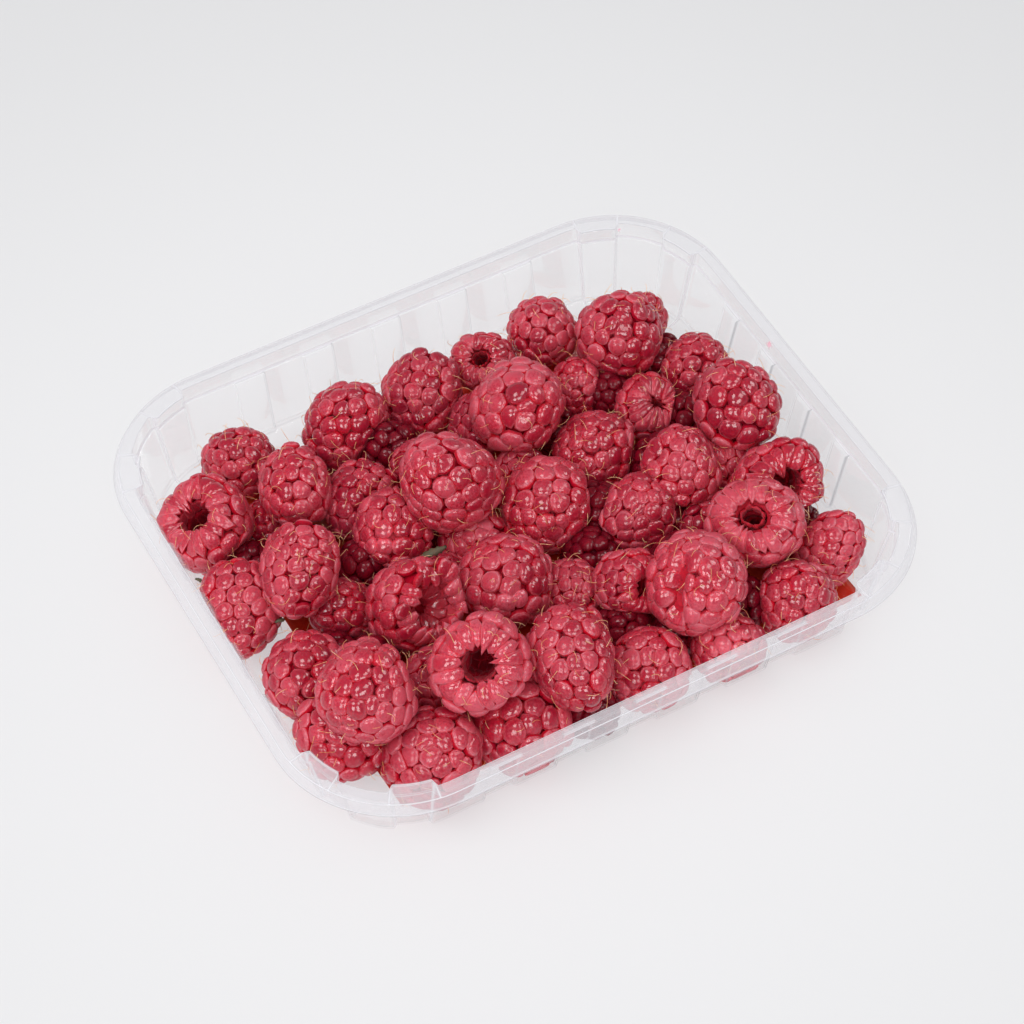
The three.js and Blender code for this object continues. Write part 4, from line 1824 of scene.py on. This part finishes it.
@dataclass
class Styles:
    """The dry styles: thin curled hairs that stand on the drupelets."""

    spots: list[tuple[np.ndarray, np.ndarray]]
    steps: int = 7
    shortest: float = 2.2 * MM
    longest: float = 5.2 * MM
    thick: float = 0.085 * MM
    lean: tuple = (0.7, 1.2)
    curl: tuple = (0.2, 1.3)
    swing: float = 1.3
    seed: int = 23
    finish: Mottled = DRY_STYLE

    def path(self, start: np.ndarray, out: np.ndarray, draw: np.random.Generator) -> np.ndarray:
        """One hair's line.

        Args:
            start: Where it stands.
            out: The way out of the skin there.
            draw: The random draws.

        Returns:
            Its points, from the skin to its end.
        """
        length = draw.uniform(self.shortest, self.longest)
        side = unit(np.cross(out, unit(draw.normal(0, 1, 3))))
        across = np.cross(out, side)
        lean = draw.uniform(*self.lean)
        curl = draw.uniform(*self.curl)
        swing = draw.normal(0, self.swing)
        points = [start - out * 0.25 * MM]
        for step in range(self.steps):
            share = (step + 0.5) / self.steps
            angle = lean + curl * share * share
            turn = swing * share * share
            level = math.cos(turn) * side + math.sin(turn) * across
            way = math.cos(angle) * out + math.sin(angle) * level
            points.append(points[-1] + unit(way) * length / self.steps)
        return np.array(points)

    def build(self) -> bpy.types.Object:
        """Draws every hair as a spline and turns them into one mesh.

        Returns:
            The finished piece.
        """
        draw = np.random.default_rng(self.seed)
        curve = bpy.data.curves.new("dry_styles", "CURVE")
        curve.dimensions = "3D"
        curve.bevel_depth = self.thick
        curve.bevel_resolution = 0
        curve.use_fill_caps = True
        for start, out in self.spots:
            points = self.path(start, out, draw)
            spline = curve.splines.new("POLY")
            spline.points.add(len(points) - 1)
            for index, point in enumerate(points):
                spline.points[index].co = (*point, 1.0)
                spline.points[index].radius = 1.0 - 0.55 * index / len(points)
        drawn = add_object("dry_styles_line", curve)
        bpy.context.view_layer.update()
        ready = drawn.evaluated_get(bpy.context.evaluated_depsgraph_get())
        mesh = bpy.data.meshes.new_from_object(ready)
        bpy.data.objects.remove(drawn)
        mesh.name = "dry_styles"
        mesh.shade_smooth()
        return settle_in(add_object("dry_styles", mesh), self.finish.make())


@dataclass(frozen=True)
class Scrap:
    """A curled scrap of calyx: its two ends, its width and its twist, in mm and degrees."""

    start: tuple[float, float, float]
    end: tuple[float, float, float]
    width: float
    twist: float
    arch: float = 0.5

    def draw(self, shape: bmesh.types.BMesh, columns: int = 14, rows: int = 4) -> None:
        """Adds the scrap's blade, pointed at both ends.

        Args:
            shape: The mesh it goes into.
            columns: Steps along it.
            rows: Steps across it.
        """
        start, end = Vector(self.start) * MM, Vector(self.end) * MM
        made = bmesh.ops.create_grid(shape, x_segments=columns, y_segments=rows, size=0.5)
        along = (end - start).normalized()
        side = along.cross(Vector((0.0, 0.0, 1.0)))
        for vertex in made["verts"]:
            share, across = vertex.co.x + 0.5, vertex.co.y
            turn = Matrix.Rotation(math.radians(self.twist) * (share - 0.3), 3, along)
            blade = math.sin(math.pi * (0.04 + 0.92 * share)) ** 0.6
            ragged = 1.0 + 0.25 * math.sin(31.0 * share + 4.0 * across)
            lift = self.arch * math.sin(math.pi * share) - 1.6 * across * across
            middle = start.lerp(end, share)
            offset = side * across * self.width * MM * blade * ragged
            offset.z += lift * MM
            vertex.co = middle + turn @ offset


@dataclass
class Scraps:
    """The few scraps of calyx that lie between the berries."""

    scraps: tuple = (
        Scrap((-30.9, -6.0, 21.4), (-22.0, -5.3, 19.6), 2.1, 100.0),
        Scrap((-69.9, -2.2, 15.6), (-67.4, -2.6, 15.4), 1.1, 60.0),
        Scrap((-81.2, 21.4, 14.2), (-79.8, 19.2, 14.0), 0.9, 50.0),
    )
    thickness: float = 0.16 * MM
    finish: Mottled = CALYX_LEAF

    def build(self) -> bpy.types.Object:
        """Draws the scraps and gives them their thickness.

        Returns:
            The finished piece.
        """
        shape = bmesh.new()
        for scrap in self.scraps:
            scrap.draw(shape)
        bmesh.ops.recalc_face_normals(shape, faces=shape.faces)
        made = to_object("calyx_scraps", shape)
        wall = made.modifiers.new("blade", "SOLIDIFY")
        wall.thickness = self.thickness
        wall.offset = 0.0
        return settle_in(made, self.finish.make())


# ---- the stage ----


@dataclass(frozen=True)
class Lamp:
    """A soft square light that faces the punnet.

    Heading is its side, in degrees from the camera's, and rise its height in degrees. A
    glint shows in gloss alone, and any other lamp lights everything but gloss.
    """

    name: str
    heading: float
    rise: float
    power: float
    away: float = 0.9
    size: float = 0.42
    glint: bool = True


@dataclass
class Stage:
    """The pale floor, the soft light and the camera."""

    azimuth: float = -28.277
    elevation: float = 51.249
    roll: float = -0.933
    distance: float = 827.8 * MM
    target: tuple = (-2.57 * MM, -4.915 * MM, 21.77 * MM)
    lens: float = 112.70
    sensor: float = 36.0
    floor_reach: float = 6.0
    sky: tuple = opaque(0.985, 0.985, 1.0)
    world: float = 0.45
    world_in_gloss: float = 0.30
    lamps: tuple = (
        Lamp("overhead", -75.0, 66.0, 8.6, away=1.2, size=1.3, glint=False),
        Lamp("front_fill", 5.0, 40.0, 6.0, away=1.3, size=1.1, glint=False),
        Lamp("front_left", -26.0, 27.0, 5.0),
        Lamp("front_right", 24.0, 30.0, 5.0),
        Lamp("top_left", -62.0, 64.0, 4.6),
        Lamp("top_right", 70.0, 58.0, 3.4),
        Lamp("back", 116.0, 34.0, 3.6),
    )
    finish: PaleFloor = PaleFloor()

    @staticmethod
    def toward(azimuth: float, elevation: float) -> Vector:
        """The direction of an azimuth and an elevation in degrees.

        Args:
            azimuth: The turn from the front, anticlockwise from above.
            elevation: The angle above level.

        Returns:
            The direction, with a length of 1.
        """
        turn, lift = math.radians(azimuth), math.radians(elevation)
        level = math.cos(lift)
        return Vector((math.sin(turn) * level, -math.cos(turn) * level, math.sin(lift)))

    def turn(self) -> Matrix:
        """The camera's rotation.

        Returns:
            The rotation.
        """
        back = self.toward(self.azimuth, self.elevation)
        azimuth = math.radians(self.azimuth)
        right = Vector((math.cos(azimuth), math.sin(azimuth), 0.0))
        up = back.cross(right)
        tilt = math.radians(self.roll)
        leaned = right * math.cos(tilt) + up * math.sin(tilt)
        return Matrix((leaned, back.cross(leaned), back)).transposed()

    def add_camera(self) -> None:
        """Adds the camera and makes it the scene's."""
        camera = bpy.data.cameras.new("camera")
        camera.lens = self.lens
        camera.sensor_width = self.sensor
        camera.clip_start = 0.05
        camera.clip_end = 50.0
        held = add_object("camera", camera)
        turn = self.turn()
        held.matrix_world = turn.to_4x4()
        held.location = Vector(self.target) + turn.col[2] * self.distance
        bpy.context.scene.camera = held

    def add_lamp(self, lamp: Lamp) -> None:
        """Adds a light.

        Args:
            lamp: The light's place, size and power.
        """
        light = bpy.data.lights.new(lamp.name, "AREA")
        light.shape = "SQUARE"
        light.size = lamp.size
        light.energy = lamp.power
        held = add_object(lamp.name, light)
        back = self.toward(self.azimuth + lamp.heading, lamp.rise)
        held.matrix_world = back.to_track_quat("Z", "Y").to_matrix().to_4x4()
        held.location = back * lamp.away
        held.visible_glossy = lamp.glint
        held.visible_diffuse = not lamp.glint

    def build(self) -> None:
        """Sets the floor, the lights, the camera and the picture's tone."""
        scene = bpy.context.scene
        shape = bmesh.new()
        bmesh.ops.create_grid(shape, x_segments=8, y_segments=8, size=self.floor_reach)
        floor = to_object("floor", shape)
        floor.data.materials.append(self.finish.make())
        floor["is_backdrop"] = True
        graph = Graph(bpy.data.worlds.new("studio"))
        glossy = graph.read(graph.node("ShaderNodeLightPath"), "Is Glossy Ray")
        strength = glossy * (self.world_in_gloss - self.world) + self.world
        sky = {"Color": self.sky, "Strength": strength}
        scene.world = graph.finish(graph.node("ShaderNodeBackground", inputs=sky))
        for lamp in self.lamps:
            self.add_lamp(lamp)
        self.add_camera()
        scene.view_settings.view_transform = "Standard"
        scene.cycles.transparent_max_bounces = 32
        scene.cycles.caustics_reflective = False
        scene.cycles.caustics_refractive = False


def main() -> None:
    """Builds the punnet and its stage."""
    logging.basicConfig(level=logging.INFO, format="%(name)s: %(message)s")
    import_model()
    packed = tuple(corner.copy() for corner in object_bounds())
    Stage().build()
    tray = Tray()
    tray.build()
    Pad().build()
    heap = Heap(tray)
    heap.build()
    Styles(heap.styles).build()
    Scraps().build()


if __name__ == "__main__":
    main()
